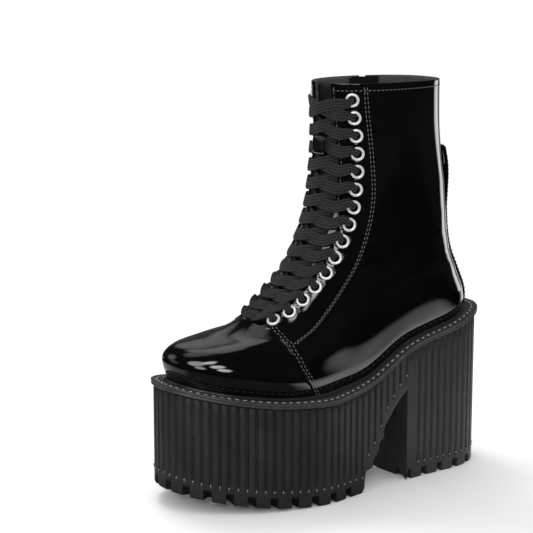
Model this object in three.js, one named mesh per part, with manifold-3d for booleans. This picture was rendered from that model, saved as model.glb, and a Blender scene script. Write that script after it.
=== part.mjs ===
import * as THREE from 'three';
import { mergeVertices } from 'three/addons/utils/BufferGeometryUtils.js';
import Module from 'manifold-3d';

const wasm = await Module();
wasm.setup();

// A left lace-up platform boot in millimetres, +Z up, toe towards -Y, outer side towards +X.
// The origin is on the floor, under the middle of the heel's resting face.
// Inside this file a place is (along, side, height): along runs forward from the heel's back edge.

// Driving sizes
const soleLength = 268;
const ballWidth = 100.5;
const heelHeight = 119.5;
const platformHeight = 73;
const toeSpring = 14;
const collarHeight = 301;
const heelLength = 85;
const archLength = 47;
const toeInflare = 15;
const wall = 2;
const clearance = 0.3;
const seatGap = 0.6;
const facetTolerance = 0.05;
const laceTolerance = 0.08;
const outlineSamples = 720;
const outlineFacets = 120;
const weltFacets = 80;
const insoleFacets = 64;
const upperFacets = 40;

// Sole details
const weltThickness = 5;
const weltOverhang = 1.8;
const weltRimInset = 1.2;
const insoleThickness = 3;
const ribPitch = 6.5;
const ribFace = 4;
const ribDepth = 1.3;
const bandHeight = 11;
const lugHeight = 7.5;
const lugPitch = 16;
const lugGap = 6;
const lugReach = 14;

// Lacing
const eyeletRows = 15;
const eyeletHole = 3.2;
const eyeletBarrel = 3.8;
const eyeletFlange = 5.1;
const eyeletRise = 1.2;
const eyeletSegments = 8;
const ringGrid = 1 / 64;
const ringPhase = 0.37;
const eyeletFromEdge = 9;
const laceWidth = 9;
const laceThickness = 1.6;
const laceCore = 2.5;
const laceHump = 0.75;
const laceSlim = laceWidth * 0.8;
const laceOver = eyeletRise + clearance * 2 + laceThickness / 2;
const laceUnder = wall + clearance * 2 + laceThickness / 2;
const throatStart = 6;
const laceFirst = 6.15;
const laceLast = 12.62;

// Tongue, back strip and zip
const tongueThickness = 2.2;
const tongueDepth = 6;
const tongueOverlap = 9;
const tongueTop = 12.75;
const loopWidth = 14;
const loopLeg = 4;
const loopThickness = 1.2;
const loopRow = 3;
const stripWidth = 24;
const stripThickness = 2.6;
const stripTop = 11.1;
const stripStandOff = 3;
const zipEnd = 6;
const zipSlot = 6;
const zipTapeWidth = 26;
const zipTapeThickness = 0.9;
const zipAlongTop = 75;
const zipAlongEnd = 82;
const teethWidth = 4.6;
const teethThickness = 1.6;
const guardLength = 58;
const guardWidth = 26;
const guardThickness = 1.2;
const sliderLength = 10;
const sliderWidth = 8;
const sliderThickness = 2.4;
const sliderDrop = 9;
const pullLength = 30;
const pullWidth = 7;
const pullThickness = 1.8;

const originAlong = heelLength / 2;
const weltTop = weltThickness + seatGap;

// Outline of the sole: a row every eighth of its length, as shares of the ball width
const outlineColumns = ['halfWidth', 'centre'];
const outlineRows = [
  [0.345, 0],
  [0.352, 0.005],
  [0.36, 0.01],
  [0.378, 0.018],
  [0.418, 0.028],
  [0.492, 0.01],
  [0.5, -0.045],
  [0.5, -0.115],
  [0.5, -0.149],
];
const heelRound = 0.155;
const toeRound = 0.28;

// Rise of the sole's top from platform to heel: a row every 0.15 of its length
const baseColumns = ['rise'];
const baseRows = [[1], [0.78], [0.57], [0.15], [0], [0], [0], [0]];
const baseStep = 0.15;
const springStart = 0.58;

// Sections of the upper, feather line to collar.
// back, front: ends, as shares of the sole length. backRise, frontRise: shares of the way from
// the welt to the collar. heel, waist, ball: half widths, as shares of the ball width.
// backRound, frontRound: length of the rounded ends, as shares of the sole length.
// sway: how far the section follows the curve of the sole.
const sectionColumns = [
  'back', 'front', 'backRise', 'frontRise', 'heel', 'waist', 'ball', 'backRound', 'frontRound', 'sway',
];
const sectionRows = [
  [0.043, 0.959, 0.0, 0.0, 0.279, 0.323, 0.443, 0.127, 0.254, 1.0],
  [0.039, 0.97, 0.047, 0.045, 0.303, 0.343, 0.468, 0.134, 0.257, 0.97],
  [0.045, 0.97, 0.094, 0.085, 0.318, 0.348, 0.463, 0.142, 0.25, 0.9],
  [0.06, 0.94, 0.149, 0.123, 0.328, 0.348, 0.433, 0.149, 0.243, 0.75],
  [0.076, 0.881, 0.205, 0.15, 0.333, 0.343, 0.383, 0.149, 0.228, 0.55],
  [0.09, 0.81, 0.253, 0.177, 0.333, 0.338, 0.343, 0.149, 0.213, 0.38],
  [0.101, 0.746, 0.306, 0.223, 0.328, 0.333, 0.313, 0.149, 0.198, 0.22],
  [0.108, 0.683, 0.363, 0.287, 0.328, 0.328, 0.303, 0.149, 0.183, 0.12],
  [0.112, 0.625, 0.429, 0.367, 0.328, 0.328, 0.303, 0.153, 0.175, 0.05],
  [0.116, 0.584, 0.501, 0.456, 0.328, 0.333, 0.313, 0.153, 0.168, 0],
  [0.123, 0.55, 0.594, 0.558, 0.333, 0.338, 0.328, 0.157, 0.168, 0],
  [0.136, 0.532, 0.704, 0.67, 0.338, 0.348, 0.338, 0.157, 0.168, 0],
  [0.147, 0.522, 0.834, 0.823, 0.343, 0.358, 0.348, 0.157, 0.168, 0],
  [0.149, 0.528, 1.0, 1.0, 0.348, 0.368, 0.358, 0.157, 0.172, 0],
];
const collarLevel = sectionRows.length - 1;

// Half width of the throat at a level of the upper's sections, as a share of the ball width
const throatRows = [
  { level: throatStart, half: 0.07 },
  { level: throatStart + 0.5, half: 0.115 },
  { level: 8, half: 0.14 },
  { level: 10, half: 0.172 },
  { level: 11.5, half: 0.172 },
  { level: collarLevel, half: 0.14 },
];

// Rear face of the arch from its top down to the floor, with three lugs standing out of it.
// reach: share of the arch length behind the platform's rear edge. rise: share of the platform height.
const archRows = [
  { reach: 1, rise: 0.96 },
  { reach: 0.87, rise: 0.89 },
  { reach: 0.73, rise: 0.79 },
  { reach: 0.59, rise: 0.68 },
  { reach: 0.49, rise: 0.6 },
  { reach: 0.55, rise: 0.585 },
  { reach: 0.54, rise: 0.49 },
  { reach: 0.44, rise: 0.465 },
  { reach: 0.4, rise: 0.43 },
  { reach: 0.44, rise: 0.405 },
  { reach: 0.37, rise: 0.32 },
  { reach: 0.3, rise: 0.33 },
  { reach: 0.28, rise: 0.29 },
  { reach: 0.32, rise: 0.26 },
  { reach: 0.24, rise: 0.17 },
  { reach: 0.14, rise: 0.2 },
  { reach: 0.11, rise: 0.14 },
  { reach: 0.06, rise: 0.06 },
  { reach: 0, rise: 0.055 },
];

const finishes = {
  patent: { color: 0x060605, roughness: 0.06, metalness: 0 },
  rubber: { color: 0x2c2c2d, roughness: 0.6, metalness: 0 },
  rim: { color: 0x242425, roughness: 0.4, metalness: 0 },
  lining: { color: 0x2a2a2b, roughness: 0.8, metalness: 0 },
  woven: { color: 0x17171a, roughness: 0.9, metalness: 0 },
  nickel: { color: 0xd4d4d2, roughness: 0.2, metalness: 1 },
};

const group = new THREE.Group();
group.name = 'platform_boot';

function addPiece(name, geometry, finish) {
  const mesh = new THREE.Mesh(geometry, new THREE.MeshStandardMaterial(finishes[finish]));
  mesh.name = name;
  group.add(mesh);
  return mesh;
}

function place(along, side, height) {
  return new THREE.Vector3(side, originAlong - along, height);
}

function smooth(value) {
  const x = Math.min(Math.max(value, 0), 1);
  return x * x * (3 - 2 * x);
}

function mix(a, b, share) {
  return a + (b - a) * share;
}

function evenSteps(from, to, count) {
  return Array.from({ length: count + 1 }, (_, index) => mix(from, to, index / count));
}

// Smooth curve through the evenly spaced rows of a table, read at a fractional row
function readTable(columns, rows, name, row) {
  const column = columns.indexOf(name);
  const start = Math.floor(Math.min(Math.max(row, 0), rows.length - 1.001));
  const t = row - start;
  const [a, b, c, d] = [-1, 0, 1, 2].map((step) => {
    return rows[Math.min(Math.max(start + step, 0), rows.length - 1)][column];
  });
  return b + 0.5 * t * (c - a + t * (2 * a - 5 * b + 4 * c - d + t * (3 * (b - c) + d - a)));
}

function springAt(along) {
  const share = Math.max((along / soleLength - springStart) / (1 - springStart), 0);
  return toeSpring * share * share;
}

// Height of the sole's top
function baseAt(along) {
  const row = Math.max(along / soleLength, 0) / baseStep;
  const rise = Math.max(readTable(baseColumns, baseRows, 'rise', row), 0);
  return mix(platformHeight, heelHeight, rise) + springAt(along);
}

// Sideways shift of the centre line towards the inner side at the toe
function centreAt(along) {
  const share = along / soleLength;
  const toe = -toeInflare * smooth((share - 0.5) * 2);
  const waist = 0.025 * ballWidth * smooth((share - 0.3) * 4) * (1 - smooth((share - 0.62) * 5));
  return toe + waist;
}

// A rounded end: 0 at the tip, 1 from its length on
function roundEnd(distance, length, power) {
  const rest = Math.min(Math.max(1 - distance / length, 0), 1);
  return Math.pow(Math.max(1 - Math.pow(rest, power), 0), 1 / power);
}

// Point of the sole's outline; angle 0 is the heel's back, a quarter turn the outer side
function outlinePoint(angle, grow) {
  const share = (1 - Math.cos(angle)) / 2;
  const row = share * (outlineRows.length - 1);
  const rounds = roundEnd(share, heelRound, 2.4) * roundEnd(1 - share, toeRound, 2.1);
  const half = (readTable(outlineColumns, outlineRows, 'halfWidth', row) * ballWidth + grow) * rounds;
  const centre = readTable(outlineColumns, outlineRows, 'centre', row) * ballWidth;
  const along = share * (soleLength + 2 * grow) - grow;
  return [along, centre + half * (Math.sin(angle) < 0 ? -1 : 1)];
}

// Point of the upper: level counts the section rows, angle runs as in outlinePoint
function upperPoint(level, angle) {
  const read = (name) => readTable(sectionColumns, sectionRows, name, level);
  const share = (1 - Math.cos(angle)) / 2;
  const back = read('back') * soleLength;
  const front = read('front') * soleLength;
  const along = mix(back, front, share);
  const backSeat = baseAt(back) + weltTop;
  const frontSeat = baseAt(front) + weltTop;
  const backHeight = mix(backSeat, collarHeight, read('backRise'));
  const frontHeight = mix(frontSeat, collarHeight, read('frontRise'));
  const sway = baseAt(along) + weltTop - mix(backSeat, frontSeat, share);
  const height = mix(backHeight, frontHeight, share) + read('sway') * sway;
  const rear = mix(read('heel'), read('waist'), smooth((share - 0.12) / 0.38));
  const width = share < 0.5 ? rear : mix(read('waist'), read('ball'), smooth((share - 0.5) / 0.26));
  const backRound = read('backRound') * soleLength;
  const frontRound = read('frontRound') * soleLength;
  const rounds = roundEnd(along - back, backRound, 2.3) * roundEnd(front - along, frontRound, 2.15);
  const half = width * ballWidth * rounds;
  return place(along, centreAt(along) + half * (Math.sin(angle) < 0 ? -1 : 1), height);
}

// Outward direction of the upper at a point
function upperNormal(level, angle) {
  const step = 0.02;
  const high = Math.min(level + step, collarLevel);
  const low = Math.max(level - step, 0);
  const rise = upperPoint(high, angle).sub(upperPoint(low, angle));
  const around = upperPoint(level, angle + step).sub(upperPoint(level, angle - step));
  return rise.cross(around).normalize();
}

// Point at a distance outside the upper, or inside where the distance is negative
function offUpper(level, angle, distance) {
  return upperPoint(level, angle).addScaledVector(upperNormal(level, angle), distance);
}

// Angle on the front half where the upper is a given distance beside its centre line
function angleBeside(level, beside) {
  const sign = Math.sign(beside) || 1;
  let wide = Math.PI / 2;
  let narrow = Math.PI;
  for (let step = 0; step < 40; step += 1) {
    const middle = (wide + narrow) / 2;
    const point = upperPoint(level, middle);
    const offset = point.x - centreAt(originAlong - point.y);
    if (offset > Math.abs(beside)) wide = middle;
    else narrow = middle;
  }
  const angle = (wide + narrow) / 2;
  return sign > 0 ? angle : 2 * Math.PI - angle;
}

// Angle that lies a distance along the surface from another angle at the same level
function angleAside(level, angle, distance) {
  const step = 0.01;
  const speed = upperPoint(level, angle + step).distanceTo(upperPoint(level, angle - step)) / (2 * step);
  return angle + distance / speed;
}

function throatHalf(level) {
  let row = 0;
  while (row < throatRows.length - 2 && level > throatRows[row + 1].level) row += 1;
  const [from, to] = [throatRows[row], throatRows[row + 1]];
  const share = Math.min(Math.max((level - from.level) / (to.level - from.level), 0), 1);
  return mix(from.half, to.half, share) * ballWidth;
}

// Closed geometry from points and triangles, with its faces turned outwards
function closedGeometry(points, triangles) {
  let volume = 0;
  for (const [a, b, c] of triangles) {
    volume += points[a].dot(new THREE.Vector3().crossVectors(points[b], points[c]));
  }
  const order = volume < 0 ? triangles.map(([a, b, c]) => [a, c, b]) : triangles;
  const geometry = new THREE.BufferGeometry();
  const positions = points.flatMap((point) => [point.x, point.y, point.z]);
  geometry.setAttribute('position', new THREE.Float32BufferAttribute(positions, 3));
  geometry.setIndex(order.flat());
  return geometry;
}

// Solid between an outer and an inner grid of points, each a list of rows.
// A grid that closes around has rims at its first and last row, any other has four edges.
function shellBetween(outer, inner, closes) {
  const rows = outer.length;
  const columns = outer[0].length;
  const points = [...outer.flat(), ...inner.flat()];
  const at = (layer, row, column) => layer * rows * columns + row * columns + (column % columns);
  const triangles = [];
  const addFour = (a, b, c, d) => triangles.push([a, b, c], [a, c, d]);
  const spans = closes ? columns : columns - 1;
  for (let column = 0; column < spans; column += 1) {
    const next = column + 1;
    for (let row = 0; row < rows - 1; row += 1) {
      addFour(at(0, row, column), at(0, row, next), at(0, row + 1, next), at(0, row + 1, column));
      addFour(at(1, row, column), at(1, row + 1, column), at(1, row + 1, next), at(1, row, next));
    }
    const last = rows - 1;
    addFour(at(0, 0, next), at(0, 0, column), at(1, 0, column), at(1, 0, next));
    addFour(at(0, last, column), at(0, last, next), at(1, last, next), at(1, last, column));
  }
  if (!closes) {
    const end = columns - 1;
    for (let row = 0; row < rows - 1; row += 1) {
      addFour(at(0, row, 0), at(0, row + 1, 0), at(1, row + 1, 0), at(1, row, 0));
      addFour(at(0, row + 1, end), at(0, row, end), at(1, row, end), at(1, row + 1, end));
    }
  }
  return closedGeometry(points, triangles);
}

// Solid through rings of equal length, closed by flat strips across at both ends.
// Each ring is symmetric about its first point, so the strips run from side to side.
function loftRings(rings) {
  const count = rings[0].length;
  const points = rings.flat();
  const triangles = [];
  const at = (ring, index) => ring * count + (index % count);
  for (let ring = 0; ring < rings.length - 1; ring += 1) {
    for (let index = 0; index < count; index += 1) {
      const [a, b] = [at(ring, index), at(ring, index + 1)];
      const [c, d] = [at(ring + 1, index + 1), at(ring + 1, index)];
      triangles.push([a, b, c], [a, c, d]);
    }
  }
  for (const [ring, turned] of [[0, true], [rings.length - 1, false]]) {
    for (let index = 0; index < count / 2; index += 1) {
      const [a, b] = [at(ring, index), at(ring, index + 1)];
      const [c, d] = [at(ring, count - index - 1), at(ring, (count - index) % count)];
      const across = index === 0 ? [[a, b, c]] : [[a, b, c], [a, c, d]];
      if (index === count / 2 - 1) across.splice(0, across.length, [a, b, d]);
      across.forEach(([p, q, r]) => triangles.push(turned ? [p, r, q] : [p, q, r]));
    }
  }
  return closedGeometry(points, triangles);
}

function toSolid(source) {
  const plain = source.index ? source.clone() : source;
  plain.deleteAttribute('normal');
  plain.deleteAttribute('uv');
  const merged = mergeVertices(plain, 1e-4);
  const mesh = new wasm.Mesh({
    numProp: 3,
    vertProperties: new Float32Array(merged.attributes.position.array),
    triVerts: new Uint32Array(merged.index.array),
  });
  return new wasm.Manifold(mesh);
}

// Slivers that a cut leaves are merged within the tolerance
function fromSolid(solid, tolerance = facetTolerance) {
  const mesh = solid.asOriginal().simplify(tolerance).getMesh();
  const geometry = new THREE.BufferGeometry();
  geometry.setAttribute('position', new THREE.BufferAttribute(mesh.vertProperties, 3));
  geometry.setIndex(new THREE.BufferAttribute(mesh.triVerts, 1));
  return geometry;
}

function joinAll(geometries) {
  return wasm.Manifold.union(geometries.map(toSolid));
}

// Plan outline pushed up through the whole height of the boot
function prismFrom(outline, height) {
  const shape = new THREE.Shape(outline.map(([along, side]) => new THREE.Vector2(side, originAlong - along)));
  return new THREE.ExtrudeGeometry(shape, { depth: height, bevelEnabled: false, steps: 1 });
}

// Side outline of (along, height) points pushed through the whole width of the boot
function sideSolid(outline) {
  const corners = outline.map(([along, height]) => new THREE.Vector2(originAlong - along, height));
  const shape = new THREE.Shape(corners);
  const geometry = new THREE.ExtrudeGeometry(shape, { depth: 2 * ballWidth, bevelEnabled: false, steps: 1 });
  geometry.translate(0, 0, -ballWidth);
  const turn = new THREE.Matrix4().makeBasis(
    new THREE.Vector3(0, 1, 0), new THREE.Vector3(0, 0, 1), new THREE.Vector3(1, 0, 0));
  return geometry.applyMatrix4(turn);
}

// The sole's outline as points, and the length run along it up to each point
function measuredOutline() {
  const points = [];
  for (let index = 0; index <= outlineSamples; index += 1) {
    points.push(outlinePoint((index / outlineSamples) * 2 * Math.PI, 0));
  }
  const runs = [0];
  for (let index = 1; index <= outlineSamples; index += 1) {
    const [a, b] = [points[index - 1], points[index]];
    runs.push(runs[index - 1] + Math.hypot(b[0] - a[0], b[1] - a[1]));
  }
  return { points, runs };
}

// Outline with a vertical groove after each rib face
function ribbedOutline() {
  const { points, runs } = measuredOutline();
  const total = runs[outlineSamples];
  const pointAt = (run, inset) => {
    const target = ((run % total) + total) % total;
    let index = 1;
    while (runs[index] < target) index += 1;
    const [a, b] = [points[index - 1], points[index]];
    const length = runs[index] - runs[index - 1];
    const share = (target - runs[index - 1]) / length;
    return [
      mix(a[0], b[0], share) + ((b[1] - a[1]) / length) * inset,
      mix(a[1], b[1], share) - ((b[0] - a[0]) / length) * inset,
    ];
  };
  const ribs = Math.round(total / ribPitch);
  const pitch = total / ribs;
  return Array.from({ length: ribs }, (_, rib) => [
    pointAt(rib * pitch - ribFace / 2, 0),
    pointAt(rib * pitch + ribFace / 2, 0),
    pointAt((rib + 0.5) * pitch, ribDepth),
  ]).flat();
}

// Blocks that cut the gaps between the lugs, square to the outline
function lugGaps() {
  const { points, runs } = measuredOutline();
  const total = runs[outlineSamples];
  const count = Math.round(total / lugPitch);
  return Array.from({ length: count }, (_, gap) => {
    const target = ((gap + 0.5) * total) / count;
    const index = runs.findIndex((run) => run >= target);
    const [a, b] = [points[index - 1], points[index]];
    const block = new THREE.BoxGeometry(lugGap, 2 * lugReach, 2 * lugHeight);
    block.rotateZ(Math.atan2(a[0] - b[0], b[1] - a[1]));
    const middle = place(b[0], b[1], springAt(b[0]));
    return block.translate(middle.x, middle.y, middle.z);
  });
}

function addSole() {
  const stations = 44;
  const rear = heelLength + archLength;
  const front = soleLength + weltOverhang;
  const top = evenSteps(front, -weltOverhang, stations).map((along) => [along, baseAt(along)]);
  const floor = evenSteps(rear, front, stations / 2).map((along) => [along, springAt(along)]);
  const arch = archRows.map(({ reach, rise }) => [rear - reach * archLength, rise * platformHeight]);
  const side = toSolid(sideSolid([[-weltOverhang, 0], [heelLength, 0], ...arch, ...floor, ...top]));
  const heelBand = [
    [-weltOverhang, 0], [heelLength, 0], [heelLength, bandHeight], [-weltOverhang, bandHeight],
  ];
  const frontBand = [...floor, ...floor.map(([along, height]) => [along, height + bandHeight]).reverse()];
  const bandSide = toSolid(sideSolid(heelBand)).add(toSolid(sideSolid(frontBand)));
  const plain = evenSteps(0, 2 * Math.PI, outlineFacets).slice(0, -1).map((angle) => outlinePoint(angle, 0));
  const ribs = toSolid(prismFrom(ribbedOutline(), collarHeight)).intersect(side);
  const band = toSolid(prismFrom(plain, collarHeight)).intersect(bandSide).intersect(side);
  const sole = ribs.add(band).subtract(joinAll(lugGaps()));
  addPiece('platform_sole', fromSolid(sole), 'rubber');
}

function addWelt() {
  const ring = (grow, lift) => evenSteps(0, 2 * Math.PI, weltFacets).slice(0, -1).map((angle) => {
    const [along, side] = outlinePoint(angle, grow);
    return place(along, side, baseAt(along) + lift);
  });
  const rim = weltOverhang - weltRimInset;
  const [low, high] = [seatGap, weltThickness];
  const rings = [
    ring(rim, low),
    ring(weltOverhang, mix(low, high, 0.2)),
    ring(weltOverhang, mix(low, high, 0.75)),
    ring(rim, high),
  ];
  addPiece('welt', loftRings(rings), 'rim');
}

function addInsole() {
  const inset = wall + clearance * 2;
  const step = Math.PI / insoleFacets;
  const ring = (lift) => evenSteps(0, 2 * Math.PI, insoleFacets).slice(0, -1).map((angle) => {
    const point = upperPoint(0, angle);
    const around = upperPoint(0, angle + step).sub(upperPoint(0, angle - step));
    const outward = new THREE.Vector3(-around.y, around.x, 0).normalize();
    point.addScaledVector(outward, -inset);
    return point.setZ(baseAt(originAlong - point.y) + weltTop + lift);
  });
  addPiece('insole', loftRings([ring(0), ring(insoleThickness)]), 'lining');
}

// Box along a path: stations hold a point, an outward direction, a width and a thickness
function ribbonSolid(stations) {
  const points = [];
  stations.forEach((station, index) => {
    const ahead = stations[Math.min(index + 1, stations.length - 1)].point;
    const behind = stations[Math.max(index - 1, 0)].point;
    const forward = ahead.clone().sub(behind).normalize();
    const aside = new THREE.Vector3().crossVectors(station.outward, forward).normalize();
    const up = new THREE.Vector3().crossVectors(forward, aside);
    for (const [across, over] of [[1, 1], [-1, 1], [-1, -1], [1, -1]]) {
      const corner = station.point.clone();
      corner.addScaledVector(aside, (across * station.width) / 2);
      corner.addScaledVector(up, (over * station.thickness) / 2);
      points.push(corner);
    }
  });
  const triangles = [];
  for (let row = 0; row < stations.length - 1; row += 1) {
    for (let side = 0; side < 4; side += 1) {
      const [a, b] = [row * 4 + side, row * 4 + ((side + 1) % 4)];
      triangles.push([a, b, b + 4], [a, b + 4, a + 4]);
    }
  }
  const last = (stations.length - 1) * 4;
  triangles.push([0, 2, 1], [0, 3, 2], [last, last + 1, last + 2], [last, last + 2, last + 3]);
  return closedGeometry(points, triangles);
}

// Eyelet places, top row first, with even steps along the edge of the throat
function eyeletPlaces() {
  const samples = 240;
  const edge = (level) => throatHalf(level) + eyeletFromEdge;
  const levels = evenSteps(laceLast, laceFirst, samples);
  const points = levels.map((level) => upperPoint(level, angleBeside(level, edge(level))));
  const runs = [0];
  for (let index = 1; index <= samples; index += 1) {
    runs.push(runs[index - 1] + points[index].distanceTo(points[index - 1]));
  }
  return Array.from({ length: eyeletRows }, (_, row) => {
    const target = (runs[samples] * row) / (eyeletRows - 1);
    let index = 1;
    while (index < samples && runs[index] < target) index += 1;
    const share = (target - runs[index - 1]) / (runs[index] - runs[index - 1]);
    const level = mix(levels[index - 1], levels[index], share);
    const beside = edge(level);
    return {
      level,
      beside,
      sides: [1, -1].map((sign) => {
        const angle = angleBeside(level, sign * beside);
        return { point: upperPoint(level, angle), outward: upperNormal(level, angle), sign, angle };
      }),
    };
  });
}

const places = eyeletPlaces();

function barAlong(point, outward, radius, low, high, segments) {
  const bar = new THREE.CylinderGeometry(radius, radius, high - low, segments);
  bar.translate(0, (high + low) / 2, 0);
  bar.applyQuaternion(new THREE.Quaternion().setFromUnitVectors(new THREE.Vector3(0, 1, 0), outward));
  return bar.translate(point.x, point.y, point.z);
}

// Closed ring: a loop of (radius, height) points turned about the outward direction at a place.
// Each point is turned a little further, so the next loop starts one step on and no facets lie flat together.
// The corners are set on a fine grid.
function turnedRing(profile, segments, place, outward) {
  const count = profile.length;
  const total = count * segments;
  const turn = new THREE.Quaternion().setFromUnitVectors(new THREE.Vector3(0, 1, 0), outward);
  const points = [];
  const triangles = [];
  for (let index = 0; index < total; index += 1) {
    const angle = ((index + ringPhase) / total) * 2 * Math.PI;
    const [radius, height] = profile[index % count];
    const corner = new THREE.Vector3(radius * Math.cos(angle), height, radius * Math.sin(angle));
    corner.applyQuaternion(turn).add(place);
    points.push(corner.divideScalar(ringGrid).round().multiplyScalar(ringGrid));
    const [a, b] = [index, (index + 1) % total];
    const [c, d] = [(index + 1 + count) % total, (index + count) % total];
    triangles.push([a, b, c], [a, c, d]);
  }
  return closedGeometry(points, triangles);
}

function addEyelets() {
  const low = -wall - clearance;
  const profile = [
    [eyeletHole, low + clearance / 2],
    [eyeletBarrel, low],
    [eyeletBarrel, clearance * 2],
    [eyeletFlange, clearance * 1.5],
    [eyeletHole, eyeletRise],
  ];
  places.forEach((row, index) => {
    row.sides.forEach(({ point, outward, sign }) => {
      const ring = turnedRing(profile, eyeletSegments, point, outward);
      const number = String(index + 1).padStart(2, '0');
      addPiece(`eyelet_${sign > 0 ? 'lateral' : 'medial'}_${number}`, ring, 'nickel');
    });
  });
}

// Wedge that opens the throat from its lower end to above the collar
function throatCutter() {
  const stations = 11;
  const inside = 30;
  const outside = 14;
  const points = [];
  for (let index = 0; index <= stations; index += 1) {
    const level = mix(throatStart, collarLevel, index / stations);
    const front = upperPoint(level, Math.PI);
    const outward = upperNormal(level, Math.PI).setX(0).normalize();
    const half = throatHalf(level);
    for (const [side, reach] of [[half, outside], [-half, outside], [-half, -inside], [half, -inside]]) {
      points.push(front.clone().addScaledVector(outward, reach).add(new THREE.Vector3(side, 0, 0)));
    }
    if (index === stations) {
      points.push(...points.slice(-4).map((point) => point.clone().add(new THREE.Vector3(0, 0, inside))));
    }
  }
  const triangles = [];
  for (let row = 0; row <= stations; row += 1) {
    for (let side = 0; side < 4; side += 1) {
      const [a, b] = [row * 4 + side, row * 4 + ((side + 1) % 4)];
      triangles.push([a, b, b + 4], [a, b + 4, a + 4]);
    }
  }
  const last = (stations + 1) * 4;
  triangles.push([0, 2, 1], [0, 3, 2], [last, last + 1, last + 2], [last, last + 2, last + 3]);
  return closedGeometry(points, triangles);
}

// Angle of the zip's middle on the inner side
function zipAngle(level) {
  const share = (level - zipEnd) / (collarLevel - zipEnd);
  const along = mix(zipAlongEnd, zipAlongTop, share);
  const back = readTable(sectionColumns, sectionRows, 'back', level) * soleLength;
  const front = readTable(sectionColumns, sectionRows, 'front', level) * soleLength;
  return 2 * Math.PI - Math.acos(1 - (2 * (along - back)) / (front - back));
}

// Patch of the upper's own surface between two distances, around a middle angle
function patchSolid(levels, columns, width, middleAngle, low, high) {
  const grid = (distance) => levels.map((level) => Array.from({ length: columns + 1 }, (_, column) => {
    const shift = width(level) * (column / columns - 0.5);
    const angle = angleAside(level, middleAngle(level), shift);
    return offUpper(level, angle, distance(level));
  }));
  return shellBetween(grid(high), grid(low), false);
}

function addUpper() {
  const levels = evenSteps(0, collarLevel, 18);
  const ring = (level, distance) => evenSteps(0, 2 * Math.PI, upperFacets).slice(0, -1).map((angle) => {
    return offUpper(level, angle, distance);
  });
  const outer = levels.map((level) => ring(level, 0));
  const inner = levels.map((level) => ring(level, -wall));
  [0, levels.length - 1].forEach((row) => {
    inner[row].forEach((point, index) => point.setZ(outer[row][index].z));
  });
  const holes = places.flatMap((row) => row.sides.map(({ point, outward }) => {
    return barAlong(point, outward, eyeletBarrel + clearance * 1.8, -3 * wall, 2 * wall, eyeletSegments);
  }));
  const slot = patchSolid(evenSteps(zipEnd, collarLevel, 8), 1, () => zipSlot, zipAngle,
    () => -3 * wall, () => 2 * wall);
  const tail = slot.clone().translate(0, 0, 2 * wall);
  const shell = toSolid(shellBetween(outer, inner, true));
  const cut = joinAll([throatCutter(), slot, tail, ...holes]);
  addPiece('upper', fromSolid(shell.subtract(cut)), 'patent');
}

function addTongue() {
  const half = (level) => throatHalf(Math.max(level, throatStart)) + tongueOverlap;
  const top = (level) => {
    const share = smooth((level - throatStart + 0.9) / 0.6);
    return -mix(wall + clearance, tongueDepth, share);
  };
  const levels = evenSteps(throatStart - 0.9, tongueTop, 11);
  const columns = 8;
  const grid = (extra) => levels.map((level) => Array.from({ length: columns + 1 }, (_, column) => {
    const beside = mix(half(level), -half(level), column / columns);
    return offUpper(level, angleBeside(level, beside), top(level) - extra);
  }));
  addPiece('tongue', shellBetween(grid(0), grid(tongueThickness), false), 'lining');
}

function addTongueLoop() {
  const [upper, lower] = [places[loopRow - 1].level, places[loopRow].level];
  const high = laceHump + laceThickness / 2 + clearance;
  const foot = -tongueDepth + clearance * 1.5;
  const half = loopThickness / 2;
  const frame = (level) => {
    return { front: upperPoint(level, Math.PI), outward: upperNormal(level, Math.PI) };
  };
  const ends = [frame(upper), frame(lower)];
  const plate = ribbonSolid(ends.map(({ front, outward }, index) => {
    const away = ends[0].front.clone().sub(ends[1].front).setLength(index === 0 ? half : -half);
    const point = front.clone().addScaledVector(outward, high + half).add(away);
    return { point, outward, width: loopWidth, thickness: loopThickness };
  }));
  const legs = ends.map(({ front, outward }) => {
    const along = ends[0].front.clone().sub(ends[1].front).normalize();
    return ribbonSolid([foot, high + half].map((distance) => {
      const point = front.clone().addScaledVector(outward, distance);
      return { point, outward: along, width: loopLeg, thickness: loopThickness };
    }));
  });
  addPiece('tongue_loop', fromSolid(joinAll([plate, ...legs])), 'patent');
}

// A station of a strand on or off the upper, part of the way from one row to the row above
function strandStation(lower, upper, share, beside, distance, width) {
  const level = mix(lower.level, upper.level, share);
  const angle = beside === 0 ? Math.PI : angleBeside(level, beside);
  const point = offUpper(level, angle, distance);
  return { point, outward: upperNormal(level, angle), width, thickness: laceThickness };
}

// The two stations where a strand leaves a hole and clears its eyelet, heading for another place
function strandEnd(spot, target) {
  const point = spot.point.clone().addScaledVector(spot.outward, laceOver);
  const heading = target.clone().sub(spot.point);
  heading.addScaledVector(spot.outward, -heading.dot(spot.outward)).setLength(eyeletFlange + clearance * 2);
  return [
    { point, outward: spot.outward, width: laceCore * 2, thickness: laceThickness },
    { point: point.clone().add(heading), outward: spot.outward, width: laceSlim, thickness: laceThickness },
  ];
}

// One strand from a hole's outside over its edge and under the other edge to the hole above
function strandUnder(from, to, lower, upper, hump) {
  const span = lower.beside + upper.beside;
  const edge = throatHalf(lower.level);
  const farEdge = throatHalf(upper.level) - laceWidth * 0.3;
  const finish = to.point.clone().addScaledVector(to.outward, -laceUnder);
  const station = (across, beside, distance, width) => {
    return strandStation(lower, upper, across / span, beside, distance, width);
  };
  return ribbonSolid([
    ...strandEnd(from, to.point),
    station(lower.beside - edge, from.sign * edge, laceThickness + clearance * 2, laceWidth),
    station(lower.beside, 0, hump, laceWidth),
    station(lower.beside + farEdge, to.sign * farEdge, -laceUnder, laceSlim),
    { point: finish, outward: to.outward, width: laceCore * 2, thickness: laceThickness },
  ]);
}

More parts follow.
